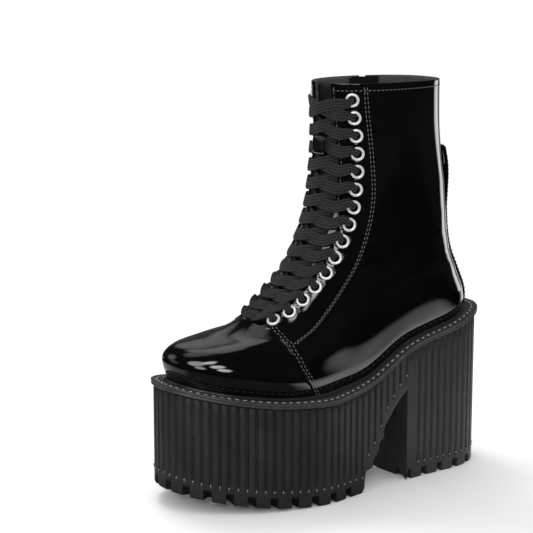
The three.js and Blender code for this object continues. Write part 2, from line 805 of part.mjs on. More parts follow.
// Top strand, over both edges, from a hole of the second row to the opposite hole of the first
function strandOver(from, to, lower, upper, hump) {
  const span = lower.beside + upper.beside;
  const edge = throatHalf(upper.level);
  const station = (across, beside, distance, width) => {
    return strandStation(lower, upper, across / span, beside, distance, width);
  };
  return ribbonSolid([
    ...strandEnd(from, to.point),
    station(lower.beside - edge, from.sign * edge, laceOver, laceWidth),
    station(lower.beside, 0, laceOver + hump, laceWidth),
    station(lower.beside + edge, to.sign * edge, laceOver, laceWidth),
    ...strandEnd(to, from.point).reverse(),
  ]);
}

function addLace() {
  const solids = [];
  places.forEach((row) => row.sides.forEach(({ point, outward }) => {
    const half = laceThickness / 2;
    solids.push(barAlong(point, outward, laceCore, -laceUnder - half, laceOver + half, 6));
  }));
  for (let row = eyeletRows - 1; row > 0; row -= 1) {
    const [lower, upper] = [places[row], places[row - 1]];
    const strand = row === 1 ? strandOver : strandUnder;
    solids.push(strand(lower.sides[1], upper.sides[0], lower, upper, laceHump));
    solids.push(strand(lower.sides[0], upper.sides[1], lower, upper, -laceHump + clearance / 2));
  }
  const bottom = places[eyeletRows - 1];
  solids.push(ribbonSolid([1, 0.5, 0, -0.5, -1].map((share) => {
    const width = Math.abs(share) < 1 ? laceSlim : laceCore * 2;
    const depth = Math.abs(share) < 1 ? laceUnder + clearance * 3 : laceUnder;
    return strandStation(bottom, bottom, 0, share * bottom.beside, -depth, width);
  })));
  addPiece('lace', fromSolid(joinAll(solids), laceTolerance), 'woven');
}

function addBackStrip() {
  const lift = (level) => clearance * 1.5 + stripStandOff * smooth((level - stripTop + 1.2) / 1.2);
  const levels = evenSteps(0.15, stripTop, 14);
  const solid = patchSolid(levels, 4, () => stripWidth, () => 0,
    lift, (level) => lift(level) + stripThickness);
  addPiece('back_strip', solid, 'patent');
}

function addZip() {
  const tapeTop = -wall - clearance * 1.5;
  const levels = evenSteps(zipEnd - 0.25, collarLevel - 0.06, 12);
  const tape = patchSolid(levels, 4, () => zipTapeWidth, zipAngle,
    () => tapeTop - zipTapeThickness, () => tapeTop);
  addPiece('zip_tape', tape, 'lining');
  const teethLevels = evenSteps(zipEnd + 0.12, collarLevel - 0.3, 12);
  const teethLow = tapeTop + clearance;
  const teeth = patchSolid(teethLevels, 2, () => teethWidth, zipAngle,
    () => teethLow, () => teethLow + teethThickness);
  addPiece('zip_teeth', teeth, 'nickel');
  const guardHigh = tapeTop - zipTapeThickness - clearance;
  const guardSpan = (guardLength / (collarHeight - heelHeight)) * (collarLevel - zipEnd);
  const guard = patchSolid(evenSteps(collarLevel - guardSpan, collarLevel - 0.02, 6), 4,
    () => guardWidth, zipAngle, () => guardHigh - guardThickness, () => guardHigh);
  addPiece('zip_guard', guard, 'patent');
}

// The slider sits near the top of the teeth, and the pull hangs from it on a crosswise axis
function addSlider() {
  const level = collarLevel - 0.3 - sliderDrop / (collarHeight - heelHeight);
  const angle = zipAngle(level);
  const outward = upperNormal(level, angle).setZ(0).normalize();
  const sideways = new THREE.Vector3(0, 0, 1).cross(outward).normalize();
  const low = -wall + teethThickness + clearance;
  const centre = offUpper(level, angle, 0);
  const block = (width, height, thickness, outBy, upBy) => {
    const box = new THREE.BoxGeometry(width, height, thickness);
    const turn = new THREE.Matrix4().makeBasis(sideways, new THREE.Vector3(0, 0, 1), outward);
    const middle = centre.clone().addScaledVector(outward, outBy).add(new THREE.Vector3(0, 0, upBy));
    return box.applyMatrix4(turn).translate(middle.x, middle.y, middle.z);
  };
  const bodyOut = low + sliderThickness / 2 + clearance;
  const body = block(sliderWidth, sliderLength, sliderThickness, bodyOut, -sliderLength / 2);
  const outFace = bodyOut + sliderThickness / 2;
  const bridgeRise = pullThickness + 3 * clearance;
  const cheek = 1.2;
  const cheekShift = pullWidth / 2 + clearance + cheek / 2;
  const cheeks = [1, -1].map((sign) => {
    const box = block(cheek, 3, bridgeRise + clearance, outFace + bridgeRise / 2, -sliderLength / 2);
    const move = sideways.clone().multiplyScalar(sign * cheekShift);
    return box.translate(move.x, move.y, move.z);
  });
  const foot = block(2 * (cheekShift + cheek / 2), 3, 0.8, outFace - 0.2, -sliderLength / 2);
  addPiece('zip_slider', fromSolid(joinAll([body, foot, ...cheeks])), 'nickel');
  const pullOut = outFace + 3 * clearance + pullThickness / 2;
  const pivotUp = -sliderLength / 2;
  const pull = block(pullWidth, pullLength, pullThickness, pullOut, pivotUp - pullLength / 2 + 1.2);
  addPiece('zip_pull', pull, 'nickel');
}

addSole();
addWelt();
addInsole();
addUpper();
addTongue();
addTongueLoop();
addBackStrip();
addLace();
addEyelets();
addZip();
addSlider();

export default group;
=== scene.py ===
import bpy
import bmesh
import numpy as np
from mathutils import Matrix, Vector


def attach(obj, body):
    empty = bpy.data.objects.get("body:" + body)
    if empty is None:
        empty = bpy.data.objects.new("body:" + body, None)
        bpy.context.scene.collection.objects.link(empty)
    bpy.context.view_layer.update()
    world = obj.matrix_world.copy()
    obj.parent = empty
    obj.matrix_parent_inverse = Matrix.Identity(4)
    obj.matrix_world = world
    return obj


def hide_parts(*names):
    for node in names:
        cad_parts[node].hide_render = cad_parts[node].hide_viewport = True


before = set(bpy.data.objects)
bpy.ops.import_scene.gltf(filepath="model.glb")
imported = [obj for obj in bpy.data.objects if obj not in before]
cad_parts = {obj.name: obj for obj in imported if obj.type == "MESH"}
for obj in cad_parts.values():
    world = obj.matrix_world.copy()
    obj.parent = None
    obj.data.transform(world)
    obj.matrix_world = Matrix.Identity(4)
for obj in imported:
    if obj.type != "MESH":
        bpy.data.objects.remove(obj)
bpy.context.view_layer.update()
print("frame loaded")

# Left platform boot. Lengths are in millimetres until addMesh turns them into metres.
# A place is (along, side, height): along runs forward from the heel's back edge, side is + outward.

last = {
    "soleLength": 268.0,
    "ballWidth": 100.5,
    "heelHeight": 119.5,
    "platformHeight": 73.0,
    "toeSpring": 14.0,
    "springStart": 0.58,
    "collarHeight": 301.0,
    "heelLength": 85.0,
    "toeInflare": 15.0,
    "weltTop": 5.6,
    "topLevel": 13.0,
}

# the sole's plan: a value every eighth of its length, as shares of the ball width
outlineTable = {
    "halfWidth": [0.345, 0.352, 0.36, 0.378, 0.418, 0.492, 0.5, 0.5, 0.5],
    "centre": [0, 0.005, 0.01, 0.018, 0.028, 0.01, -0.045, -0.115, -0.149],
}
baseRise = [1, 0.78, 0.57, 0.15, 0, 0, 0, 0]  # a value every 0.15 of the sole's length

# the upper's sections from feather line to collar, as shares like those of the frame's source
sections = {
    "back": [0.043, 0.039, 0.045, 0.06, 0.076, 0.09, 0.101, 0.108, 0.112, 0.116, 0.123, 0.136, 0.147, 0.149],
    "front": [0.959, 0.97, 0.97, 0.94, 0.881, 0.81, 0.746, 0.683, 0.625, 0.584, 0.55, 0.532, 0.522, 0.528],
    "backRise": [0, 0.047, 0.094, 0.149, 0.205, 0.253, 0.306, 0.363, 0.429, 0.501, 0.594, 0.704, 0.834, 1],
    "frontRise": [0, 0.045, 0.085, 0.123, 0.15, 0.177, 0.223, 0.287, 0.367, 0.456, 0.558, 0.67, 0.823, 1],
    "heel": [0.279, 0.303, 0.318, 0.328, 0.333, 0.333, 0.328, 0.328, 0.328, 0.328, 0.333, 0.338, 0.343, 0.348],
    "waist": [0.323, 0.343, 0.348, 0.348, 0.343, 0.338, 0.333, 0.328, 0.328, 0.333, 0.338, 0.348, 0.358, 0.368],
    "ball": [0.443, 0.468, 0.463, 0.433, 0.383, 0.343, 0.313, 0.303, 0.303, 0.313, 0.328, 0.338, 0.348, 0.358],
    "backRound": [0.127, 0.134, 0.142, 0.149, 0.149, 0.149, 0.149, 0.149, 0.153, 0.153, 0.157, 0.157, 0.157, 0.157],
    "frontRound": [0.254, 0.257, 0.25, 0.243, 0.228, 0.213, 0.198, 0.183, 0.175, 0.168, 0.168, 0.168, 0.168, 0.172],
    "sway": [1, 0.97, 0.9, 0.75, 0.55, 0.38, 0.22, 0.12, 0.05, 0, 0, 0, 0, 0],
}
throat = {
    "level": [6, 6.5, 8, 10, 11.5, 13],
    "half": [0.07, 0.115, 0.14, 0.172, 0.172, 0.14],
}
# front edge of the quarters below the throat: level and angle, in half turns from the heel
quarterEdge = {
    "level": [-0.2, 0, 0.64, 1.75, 2.86, 4, 5, 5.7, 6.1, 6.4],
    "angle": [0.596, 0.598, 0.606, 0.62, 0.651, 0.702, 0.775, 0.845, 0.9, 0.93],
}
# superellipse ends: length as a share, and power; shares where the waist and the ball take over
rounding = {"soleBack": (0.155, 2.4), "soleFront": (0.28, 2.1), "upperBack": 2.3, "upperFront": 2.15,
            "waistFrom": 0.12, "waistOver": 0.38, "ballFrom": 0.5, "ballOver": 0.26}
zipLine = {"end": 6.0, "alongTop": 75.0, "alongEnd": 82.0}


def smooth(value):  # 3x^2 - 2x^3 between 0 and 1
    x = np.clip(value, 0, 1)
    return x * x * (3 - 2 * x)


def mix(a, b, share):  # a + (b - a) * share
    return a + (b - a) * share


def readColumn(values, row):  # a uniform cubic through the values, read at a fractional row
    values = np.asarray(values, float)
    top = len(values) - 1
    row = np.asarray(row, float)
    start = np.floor(np.clip(row, 0, top - 0.001)).astype(int)
    t = row - start
    a, b, c, d = (values[np.clip(start + step, 0, top)] for step in (-1, 0, 1, 2))
    return b + 0.5 * t * (c - a + t * (2 * a - 5 * b + 4 * c - d + t * (3 * (b - c) + d - a)))


def springAt(along):  # toe spring: a square law from the ball to the toe's tip
    share = np.maximum((along / last["soleLength"] - last["springStart"]) / (1 - last["springStart"]), 0)
    return last["toeSpring"] * share ** 2


def baseAt(along):  # height of the sole's top: platform plus the rise to the heel plus toe spring
    row = np.maximum(along / last["soleLength"], 0) / 0.15
    rise = np.maximum(readColumn(baseRise, row), 0)
    return mix(last["platformHeight"], last["heelHeight"], rise) + springAt(along)


def centreAt(along):  # sideways shift of the centre line, inward at the toe
    share = along / last["soleLength"]
    waist = smooth((share - 0.3) * 4) * (1 - smooth((share - 0.62) * 5))
    return -last["toeInflare"] * smooth((share - 0.5) * 2) + 0.025 * last["ballWidth"] * waist


def roundEnd(distance, length, power):  # (1 - (1 - d/l)^p)^(1/p): a superellipse's quarter
    rest = np.clip(1 - distance / length, 0, 1)
    return np.maximum(1 - rest ** power, 0) ** (1 / power)


def toWorld(along, side, height):  # x is the side, y runs from toe to heel, z is the height
    return np.stack(np.broadcast_arrays(side, last["heelLength"] / 2 - along, height), -1)


def outlinePoint(angle, grow=0.0):  # plan outline: along by the cosine, half width by table and rounded ends
    share = (1 - np.cos(angle)) / 2
    row = share * 8
    rounds = roundEnd(share, *rounding["soleBack"]) * roundEnd(1 - share, *rounding["soleFront"])
    half = (readColumn(outlineTable["halfWidth"], row) * last["ballWidth"] + grow) * rounds
    centre = readColumn(outlineTable["centre"], row) * last["ballWidth"]
    along = share * (last["soleLength"] + 2 * grow) - grow
    return along, centre + half * np.where(np.sin(angle) < 0, -1, 1)


def upperPoint(level, angle):  # rounded section at a level; angle 0 is the back, half a turn the front
    level, angle = np.broadcast_arrays(np.asarray(level, float), np.asarray(angle, float))
    read = {name: readColumn(values, level) for name, values in sections.items()}
    share = (1 - np.cos(angle)) / 2
    back = read["back"] * last["soleLength"]
    front = read["front"] * last["soleLength"]
    along = mix(back, front, share)
    backSeat = baseAt(back) + last["weltTop"]
    frontSeat = baseAt(front) + last["weltTop"]
    low = mix(backSeat, last["collarHeight"], read["backRise"])
    high = mix(frontSeat, last["collarHeight"], read["frontRise"])
    sway = baseAt(along) + last["weltTop"] - mix(backSeat, frontSeat, share)
    height = mix(low, high, share) + read["sway"] * sway
    rear = mix(read["heel"], read["waist"], smooth((share - rounding["waistFrom"]) / rounding["waistOver"]))
    fore = mix(read["waist"], read["ball"], smooth((share - rounding["ballFrom"]) / rounding["ballOver"]))
    rounds = roundEnd(along - back, read["backRound"] * last["soleLength"], rounding["upperBack"])
    rounds = rounds * roundEnd(front - along, read["frontRound"] * last["soleLength"], rounding["upperFront"])
    half = np.where(share < 0.5, rear, fore) * last["ballWidth"] * rounds
    return toWorld(along, centreAt(along) + half * np.where(np.sin(angle) < 0, -1, 1), height)


def unit(vectors):  # each vector divided by its length
    return vectors / np.maximum(np.linalg.norm(vectors, axis=-1, keepdims=True), 1e-9)


def upperNormal(level, angle):  # the rise crossed with the way round points outward
    level = np.asarray(level, float)
    above, below = np.minimum(level + 0.02, last["topLevel"]), np.maximum(level - 0.02, 0)
    rise = upperPoint(above, angle) - upperPoint(below, angle)
    return unit(np.cross(rise, upperPoint(level, angle + 0.02) - upperPoint(level, angle - 0.02)))


def offUpper(level, angle, distance):  # a distance outside the upper's surface
    level, angle, distance = np.broadcast_arrays(level, angle, distance)
    return upperPoint(level, angle) + upperNormal(level, angle) * distance[..., None]


def angleBeside(level, beside):  # angle on the front half at a distance beside the centre line
    level, beside = np.broadcast_arrays(np.asarray(level, float), np.asarray(beside, float))
    wide = np.full(level.shape, np.pi / 2)
    narrow = np.full(level.shape, np.pi)
    for _ in range(32):
        middle = (wide + narrow) / 2
        point = upperPoint(level, middle)
        offset = point[..., 0] - centreAt(last["heelLength"] / 2 - point[..., 1])
        wide = np.where(offset > np.abs(beside), middle, wide)
        narrow = np.where(offset > np.abs(beside), narrow, middle)
    angle = (wide + narrow) / 2
    return np.where(beside >= 0, angle, 2 * np.pi - angle)


def angleAside(level, angle, distance):  # angle a distance further round the surface
    speed = np.linalg.norm(upperPoint(level, angle + 0.01) - upperPoint(level, angle - 0.01), axis=-1) / 0.02
    return angle + distance / speed


def throatHalf(level):  # half the throat's opening, read between the levels of its table
    return np.interp(level, throat["level"], throat["half"]) * last["ballWidth"]


def zipAngle(level):  # the zip's line: a straight run in along between its two ends
    share = (level - zipLine["end"]) / (last["topLevel"] - zipLine["end"])
    along = mix(zipLine["alongEnd"], zipLine["alongTop"], share)
    back = readColumn(sections["back"], level) * last["soleLength"]
    front = readColumn(sections["front"], level) * last["soleLength"]
    return 2 * np.pi - np.arccos(1 - 2 * (along - back) / (front - back))


upward = np.array([0.0, 0.0, 1.0])


def fullTurn(count):  # even angles once round, without the last, which is the first again
    return np.linspace(0, 2 * np.pi, count + 1)[:-1]


def lengthAlong(points):  # length run at each point: the steps added up
    return np.concatenate([[0], np.cumsum(np.linalg.norm(np.diff(points, axis=0), axis=1))])


def loopHeading(points):  # direction along a closed line: the next point minus the one before
    return unit(np.roll(points, -1, 0) - np.roll(points, 1, 0))


def signedPower(value, power):  # sign(v) * |v|^power
    return np.sign(value) * np.abs(value) ** power


# Meshes


def gridQuads(rows, columns, closed=False):  # corners of each cell, row by row; closed joins last and first column
    row = np.arange(rows - 1)[:, None]
    column = np.arange(columns if closed else columns - 1)[None, :]
    nextColumn = (column + 1) % columns
    corners = [row * columns + column, row * columns + nextColumn,
               (row + 1) * columns + nextColumn, (row + 1) * columns + column]
    return np.stack(np.broadcast_arrays(*corners), -1).reshape(-1, 4)


def ringQuads(rows, columns):  # a grid closed both ways: the last row joins the first
    return gridQuads(rows + 1, columns, True) % (rows * columns)


def shellQuads(quads, count):  # outer quads, the same turned on the inner layer, and walls where they end
    start = quads.ravel()
    end = np.roll(quads, -1, axis=1).ravel()
    single = ~np.isin(start * count + end, end * count + start)
    a, b = start[single], end[single]
    return np.concatenate([quads, quads[:, ::-1] + count, np.stack([b, a, a + count, b + count], -1)])


def addMesh(name, points, faces, material, uv=None, weld=False):  # mesh in metres, its faces turned outward
    points = np.asarray(points, float).reshape(-1, 3)
    faces = np.asarray(faces, int)
    corner = points[faces]
    cross = np.cross(corner[:, 1], corner[:, 2]) + np.cross(corner[:, 2], corner[:, 3])
    if np.einsum("ij,ij->", corner[:, 0], cross) < 0:  # the volume tells which way the faces look
        faces = faces[:, ::-1]
    mesh = bpy.data.meshes.new(name)
    mesh.vertices.add(len(points))
    mesh.vertices.foreach_set("co", (points * 0.001).astype(np.float32).ravel())
    mesh.loops.add(faces.size)
    mesh.loops.foreach_set("vertex_index", faces.astype(np.int32).ravel())
    mesh.polygons.add(len(faces))
    mesh.polygons.foreach_set("loop_start", np.arange(0, faces.size, faces.shape[1], dtype=np.int32))
    mesh.update(calc_edges=True)
    if uv is not None:
        layer = mesh.uv_layers.new(name="UVMap")
        layer.data.foreach_set("uv", np.asarray(uv, float).reshape(-1, 2)[faces].astype(np.float32).ravel())
    if weld:
        work = bmesh.new()
        work.from_mesh(mesh)
        bmesh.ops.remove_doubles(work, verts=work.verts, dist=2e-6)
        bmesh.ops.dissolve_degenerate(work, dist=1e-7, edges=work.edges)
        work.to_mesh(mesh)
        work.free()
    mesh.polygons.foreach_set("use_smooth", np.ones(len(mesh.polygons), bool))
    mesh.materials.append(material)
    piece = bpy.data.objects.new(name, mesh)
    bpy.context.scene.collection.objects.link(piece)
    return piece


def settle(piece, nodes, body="boot"):  # body and replaced nodes of a piece
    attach(piece, body)
    if nodes:
        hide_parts(*nodes)


def spread(length, edge, step):  # shares of a length: close together at both ends, even between
    near = edge * np.array([0, 0.05, 0.2, 0.45, 0.75, 1.0])
    middle = np.linspace(0, length, max(int(length / step), 3) + 1)
    middle = middle[(middle > edge * 1.4) & (middle < length - edge * 1.4)]
    return np.concatenate([near, middle, length - near[::-1]]) / length


def roll(distance, radius):  # how far a rounded edge drops: r - sqrt(r^2 - (r - d)^2)
    rest = np.clip(1 - distance / radius, 0, 1)
    return radius * (1 - np.sqrt(1 - rest ** 2))


def runOf(points, axis):  # length run along a grid, and what is left to its other end
    step = np.linalg.norm(np.diff(points, axis=axis), axis=-1)
    zero = np.zeros_like(np.take(step, [0], axis=axis))
    run = np.cumsum(np.concatenate([zero, step], axis=axis), axis=axis)
    return run, np.take(run, [-1], axis=axis) - run


def leatherSheet(name, nodes, level, angle, high, low, finish, edgeRadius=0.6, sides="tblr", mask=None):
    # sheet on the upper's surface: point + normal * high on top, * low beneath, edges drop by roll(distance)
    level = np.broadcast_to(level, angle.shape)
    flatPoints = upperPoint(level, angle)
    upRun, upRest = runOf(flatPoints, 0)
    aroundRun, aroundRest = runOf(flatPoints, 1)
    drop = np.zeros(level.shape)
    for key, distance in (("b", upRun), ("t", upRest), ("l", aroundRun), ("r", aroundRest)):
        if key in sides:
            drop = np.maximum(drop, roll(distance, edgeRadius))
    outer = offUpper(level, angle, high - drop)
    inner = offUpper(level, angle, low + drop * 0.2)
    quads = gridQuads(*level.shape)
    if mask is not None:
        quads = quads[mask(outer)[quads].all(1)]
    uv = np.stack([aroundRun, upRun], -1).reshape(-1, 2) * 0.001
    piece = addMesh(name, np.concatenate([outer.reshape(-1, 3), inner.reshape(-1, 3)]),
                    shellQuads(quads, level.size), finishes[finish], uv=np.concatenate([uv, uv]))
    settle(piece, nodes)


# Materials: shared effects are node groups, the shader stays in each material


def newGroup(name, values, outputs):  # empty group: a vector and these values in, these values out
    group = bpy.data.node_groups.new(name, "ShaderNodeTree")
    group.interface.new_socket("Vector", in_out="INPUT", socket_type="NodeSocketVector")
    for key, value in values.items():
        group.interface.new_socket(key, in_out="INPUT", socket_type="NodeSocketFloat").default_value = value
    for key in outputs:
        group.interface.new_socket(key, in_out="OUTPUT", socket_type="NodeSocketFloat")
    return group, group.nodes.new("NodeGroupInput"), group.nodes.new("NodeGroupOutput")


def addNode(tree, kind, settings=None, inputs=None):  # node with its settings, each input set or linked
    node = tree.nodes.new("ShaderNode" + kind)
    for key, value in (settings or {}).items():
        setattr(node, key, value)
    for key, value in (inputs or {}).items():
        if isinstance(value, bpy.types.NodeSocket):
            tree.links.new(value, node.inputs[key])
        else:
            node.inputs[key].default_value = value
    return node


def maths(tree, operation, a, b=None, clamp=False):  # one operation on one value or two
    inputs = {0: a} if b is None else {0: a, 1: b}
    return addNode(tree, "Math", {"operation": operation, "use_clamp": clamp}, inputs).outputs[0]


def noiseAt(tree, place, scale, detail, roughness=0.5):  # soft noise between 0 and 1
    inputs = {"Vector": place, "Scale": scale, "Detail": detail, "Roughness": roughness}
    return addNode(tree, "TexNoise", None, inputs).outputs["Fac"]


def rangeOf(tree, value, low, high, toLow=0.0, toHigh=1.0, kind="LINEAR"):
    # toLow + (toHigh - toLow) * the value's share between low and high
    return addNode(tree, "MapRange", {"interpolation_type": kind},
                   {"Value": value, 1: low, 2: high, 3: toLow, 4: toHigh}).outputs[0]


def makeGrainGroup():  # height: cells mixed with a noise four times as coarse
    group, source, result = newGroup("leatherGrain", {"Scale": 900.0, "Cells": 0.5}, ["Height", "Cloud"])
    place, scale, share = (source.outputs[key] for key in ("Vector", "Scale", "Cells"))
    cells = addNode(group, "TexVoronoi", {"feature": "SMOOTH_F1"}, {"Vector": place, "Scale": scale})
    cloud = noiseAt(group, place, maths(group, "MULTIPLY", scale, 0.25), 3.0)
    height = addNode(group, "Mix", None, {0: share, 2: cloud, 3: cells.outputs["Distance"]})
    group.links.new(height.outputs[0], result.inputs["Height"])
    group.links.new(cloud, result.inputs["Cloud"])
    return group


def makeDustGroup():  # mask: large patches * fine specks * amount, mostly none
    group, source, result = newGroup("wipedDust", {"Scale": 30.0, "Amount": 0.3}, ["Mask"])
    place, scale, amount = (source.outputs[key] for key in ("Vector", "Scale", "Amount"))
    patches = rangeOf(group, noiseAt(group, place, scale, 5.0, 0.65), 0.45, 0.75)
    specks = noiseAt(group, place, maths(group, "MULTIPLY", scale, 40.0), 2.0)
    mask = maths(group, "MULTIPLY", maths(group, "MULTIPLY", patches, specks), amount, True)
    group.links.new(mask, result.inputs["Mask"])
    return group


def makeWeaveGroup():  # height: rows that zigzag across the width * columns, both as half waves of a sine
    group, source, result = newGroup("wovenTape", {"Thread": 1.0, "Slant": 1.0}, ["Height"])
    parts = addNode(group, "SeparateXYZ", None, {0: source.outputs["Vector"]})
    across, along = (maths(group, "DIVIDE", parts.outputs[key], source.outputs["Thread"]) for key in "XY")
    zigzag = maths(group, "MULTIPLY", maths(group, "PINGPONG", across, 1.0), source.outputs["Slant"])

    def halfWave(value, power):  # sin(pi * value's distance to whole numbers) ^ power
        turn = maths(group, "MULTIPLY", maths(group, "PINGPONG", value, 0.5), 3.1416)
        return maths(group, "POWER", maths(group, "SINE", turn), power)

    rows = halfWave(maths(group, "ADD", along, zigzag), 0.6)
    group.links.new(maths(group, "MULTIPLY", rows, halfWave(across, 0.5)), result.inputs["Height"])
    return group


groups = {"grain": makeGrainGroup(), "dust": makeDustGroup(), "weave": makeWeaveGroup()}


def useGroup(tree, name, inputs):  # a group's node and its outputs
    return addNode(tree, "Group", {"node_tree": groups[name]}, inputs).outputs


def dustOn(tree, place, scale, amount):  # the dust group's mask
    return useGroup(tree, "dust", {"Vector": place, "Scale": scale, "Amount": amount})["Mask"]


def newMaterial(name, values):  # material, its tree, its shader with these values, and the place on the object
    material = bpy.data.materials.new(name)
    material.use_nodes = True
    tree = material.node_tree
    shader = tree.nodes["Principled BSDF"]
    for key, value in values.items():
        shader.inputs[key].default_value = value
    return material, tree, shader, addNode(tree, "TexCoord").outputs["Object"]


def colourMix(tree, share, a, b):  # a + (b - a) * share in each channel
    return addNode(tree, "Mix", {"data_type": "RGBA"}, {0: share, 6: a, 7: b}).outputs[2]


def dress(tree, shader, colour, rough, bumps):  # links colour and roughness, and bumps on top of each other
    tree.links.new(colour, shader.inputs["Base Color"])
    tree.links.new(rough, shader.inputs["Roughness"])
    normal = None
    for height, distance in bumps:  # distances are in metres
        inputs = {"Height": height, "Distance": distance, "Strength": 1.0}
        if normal is not None:
            inputs["Normal"] = normal
        normal = addNode(tree, "Bump", None, inputs).outputs["Normal"]
    tree.links.new(normal, shader.inputs["Normal"])


def grey(value, blue=0.0):  # one value in all channels, with a little more or less blue
    return (value, value, value + blue, 1)


patentFinish = {"colour": grey(0.0016, -0.0002), "dusty": grey(0.02), "roughness": 0.05, "rippleScale": 26.0,
                "rippleDepth": 0.00012, "grainScale": 700.0, "grainDepth": 0.0000025, "dust": 0.12}


def patentLeather(name, finish):  # clear coat over black: slow ripples and fine grain, duller where dusty
    material, tree, shader, place = newMaterial(name, {
        "Specular IOR Level": 0.5, "Coat Weight": 1.0, "Coat Roughness": 0.03, "Coat IOR": 1.5})
    ripple = noiseAt(tree, place, finish["rippleScale"], 1.5)
    grain = useGroup(tree, "grain", {"Vector": place, "Scale": finish["grainScale"], "Cells": 0.4})
    dust = dustOn(tree, place, 22.0, finish["dust"])
    dress(tree, shader, colourMix(tree, dust, finish["colour"], finish["dusty"]),
          rangeOf(tree, dust, 0, 1, finish["roughness"], finish["roughness"] + 0.3),
          [(ripple, finish["rippleDepth"]), (grain["Height"], finish["grainDepth"])])
    return material


def mouldedRubber(name, colour, roughness, worn):  # mottled tone and roughness, worn tone where dusty
    material, tree, shader, place = newMaterial(name, {"Specular IOR Level": 0.45})
    grain = useGroup(tree, "grain", {"Vector": place, "Scale": 1500.0, "Cells": 0.3})
    mottle = noiseAt(tree, place, 60.0, 6.0, 0.7)
    light = tuple(c * 1.35 for c in colour[:3]) + (1,)
    base = colourMix(tree, rangeOf(tree, mottle, 0.3, 0.7), colour, light)
    dress(tree, shader, colourMix(tree, dustOn(tree, place, 45.0, 0.5), base, worn),
          rangeOf(tree, mottle, 0, 1, roughness - 0.08, roughness + 0.1),
          [(mottle, 0.00012), (grain["Height"], 0.00002)])
    return material


def wovenCloth(name, colour, light, thread, slant, depth):  # painted light on the threads' tops and painted shade in the gaps between them, by the weave's height; fuzz on top
    material, tree, shader, place = newMaterial(name, {
        "Specular IOR Level": 0.2, "Sheen Weight": 0.03, "Sheen Roughness": 0.4})
    run = addNode(tree, "TexCoord").outputs["UV"]
    weave = useGroup(tree, "weave", {"Vector": run, "Thread": thread, "Slant": slant})["Height"]
    fuzz = noiseAt(tree, place, 900.0, 4.0)
    # the colour's share is the weave's height: the second colour is painted light on the thread tops, the first
    # painted shade between them
    dress(tree, shader, colourMix(tree, maths(tree, "MULTIPLY", weave, fuzz), colour, light),
          rangeOf(tree, fuzz, 0, 1, 0.7, 0.95), [(weave, depth), (fuzz, depth * 0.3)])
    return material


def softLeather(name, colour, light, roughness, scale):  # cloudy tone, cells and clouds as bumps
    material, tree, shader, place = newMaterial(name, {"Specular IOR Level": 0.4})
    grain = useGroup(tree, "grain", {"Vector": place, "Scale": scale, "Cells": 0.7})
    dress(tree, shader, colourMix(tree, grain["Cloud"], colour, light),
          rangeOf(tree, dustOn(tree, place, 30.0, 0.3), 0, 1, roughness, roughness + 0.3),
          [(grain["Cloud"], 0.0003), (grain["Height"], 0.00006)])
    return material


def platedMetal(name, colour, roughness, metallic):  # duller and rougher where dusty, fine scratches
    material, tree, shader, place = newMaterial(name, {"Metallic": metallic})
    dust = dustOn(tree, place, 120.0, 0.8)
    dull = tuple(c * 0.55 for c in colour[:3]) + (1,)
    dress(tree, shader, colourMix(tree, dust, colour, dull),
          rangeOf(tree, dust, 0, 1, roughness, roughness + 0.3), [(noiseAt(tree, place, 1800.0, 2.0), 0.00001)])
    return material


finishes = {
    "patent": patentLeather("patentLeather", patentFinish),
    "trim": patentLeather("patentTrim", dict(patentFinish, rippleDepth=0.00005, colour=grey(0.003))),
    "rubber": mouldedRubber("platformRubber", grey(0.0125, 0.0005), 0.5, grey(0.045)),
    # the welt's rubber is lighter than the platform's: partly its own tone, partly a painted highlight for the light
    # on its rounded edges
    "rim": mouldedRubber("weltRubber", grey(0.028), 0.26, grey(0.06)),
    "bead": mouldedRubber("beadRubber", grey(0.014), 0.16, grey(0.04)),
    # light grey pips: painted highlights for the small glints at the channels' lower ends
    "pip": mouldedRubber("pipPaintedHighlight", grey(0.12), 0.35, grey(0.2)),
    # woven finishes: the second colour is painted light on the thread tops, the first painted shade between the
    # threads
    "lace": wovenCloth("laceWeave", grey(0.001, 0.0001), grey(0.065), 0.0022, 1.2, 0.0006),
    "tape": wovenCloth("zipTapeWeave", grey(0.006, 0.0005), grey(0.03), 0.0008, 0.6, 0.00012),
    "lining": wovenCloth("liningCloth", grey(0.04), grey(0.14), 0.0009, 0.0, 0.00008),
    "thread": softLeather("stitchThread", grey(0.07), grey(0.16), 0.4, 2500.0),
    "weltThread": softLeather("weltThread", grey(0.25), grey(0.4), 0.4, 2500.0),
    "tongue": softLeather("tongueLeather", grey(0.006), grey(0.012), 0.28, 500.0),
    # eyelet nickel: its own pale tone, but more than half of it diffuse, a painted reflection that keeps the rings
    # bright where real nickel would mirror the dark studio
    "nickel": platedMetal("eyeletNickel", grey(0.9, -0.01), 0.24, 0.45),
    "zipMetal": platedMetal("zipNickel", grey(0.55, -0.01), 0.25, 0.7),
}
print("materials made")


# Small repeated shapes


def roundGrid(segments, rings, power=1.0):
    # grid with its poles on x: signed powers of a sphere's sines and cosines, from a sphere (1) towards a box (0)
    u = np.linspace(0, np.pi, rings)[:, None]
    v = fullTurn(segments)[None]
    cosU, sinU, cosV, sinV = (signedPower(part, power) for part in (np.cos(u), np.sin(u), np.cos(v), np.sin(v)))
    return np.stack([cosU + 0 * v, sinU * cosV, sinU * sinV], -1), gridQuads(rings, segments, True)


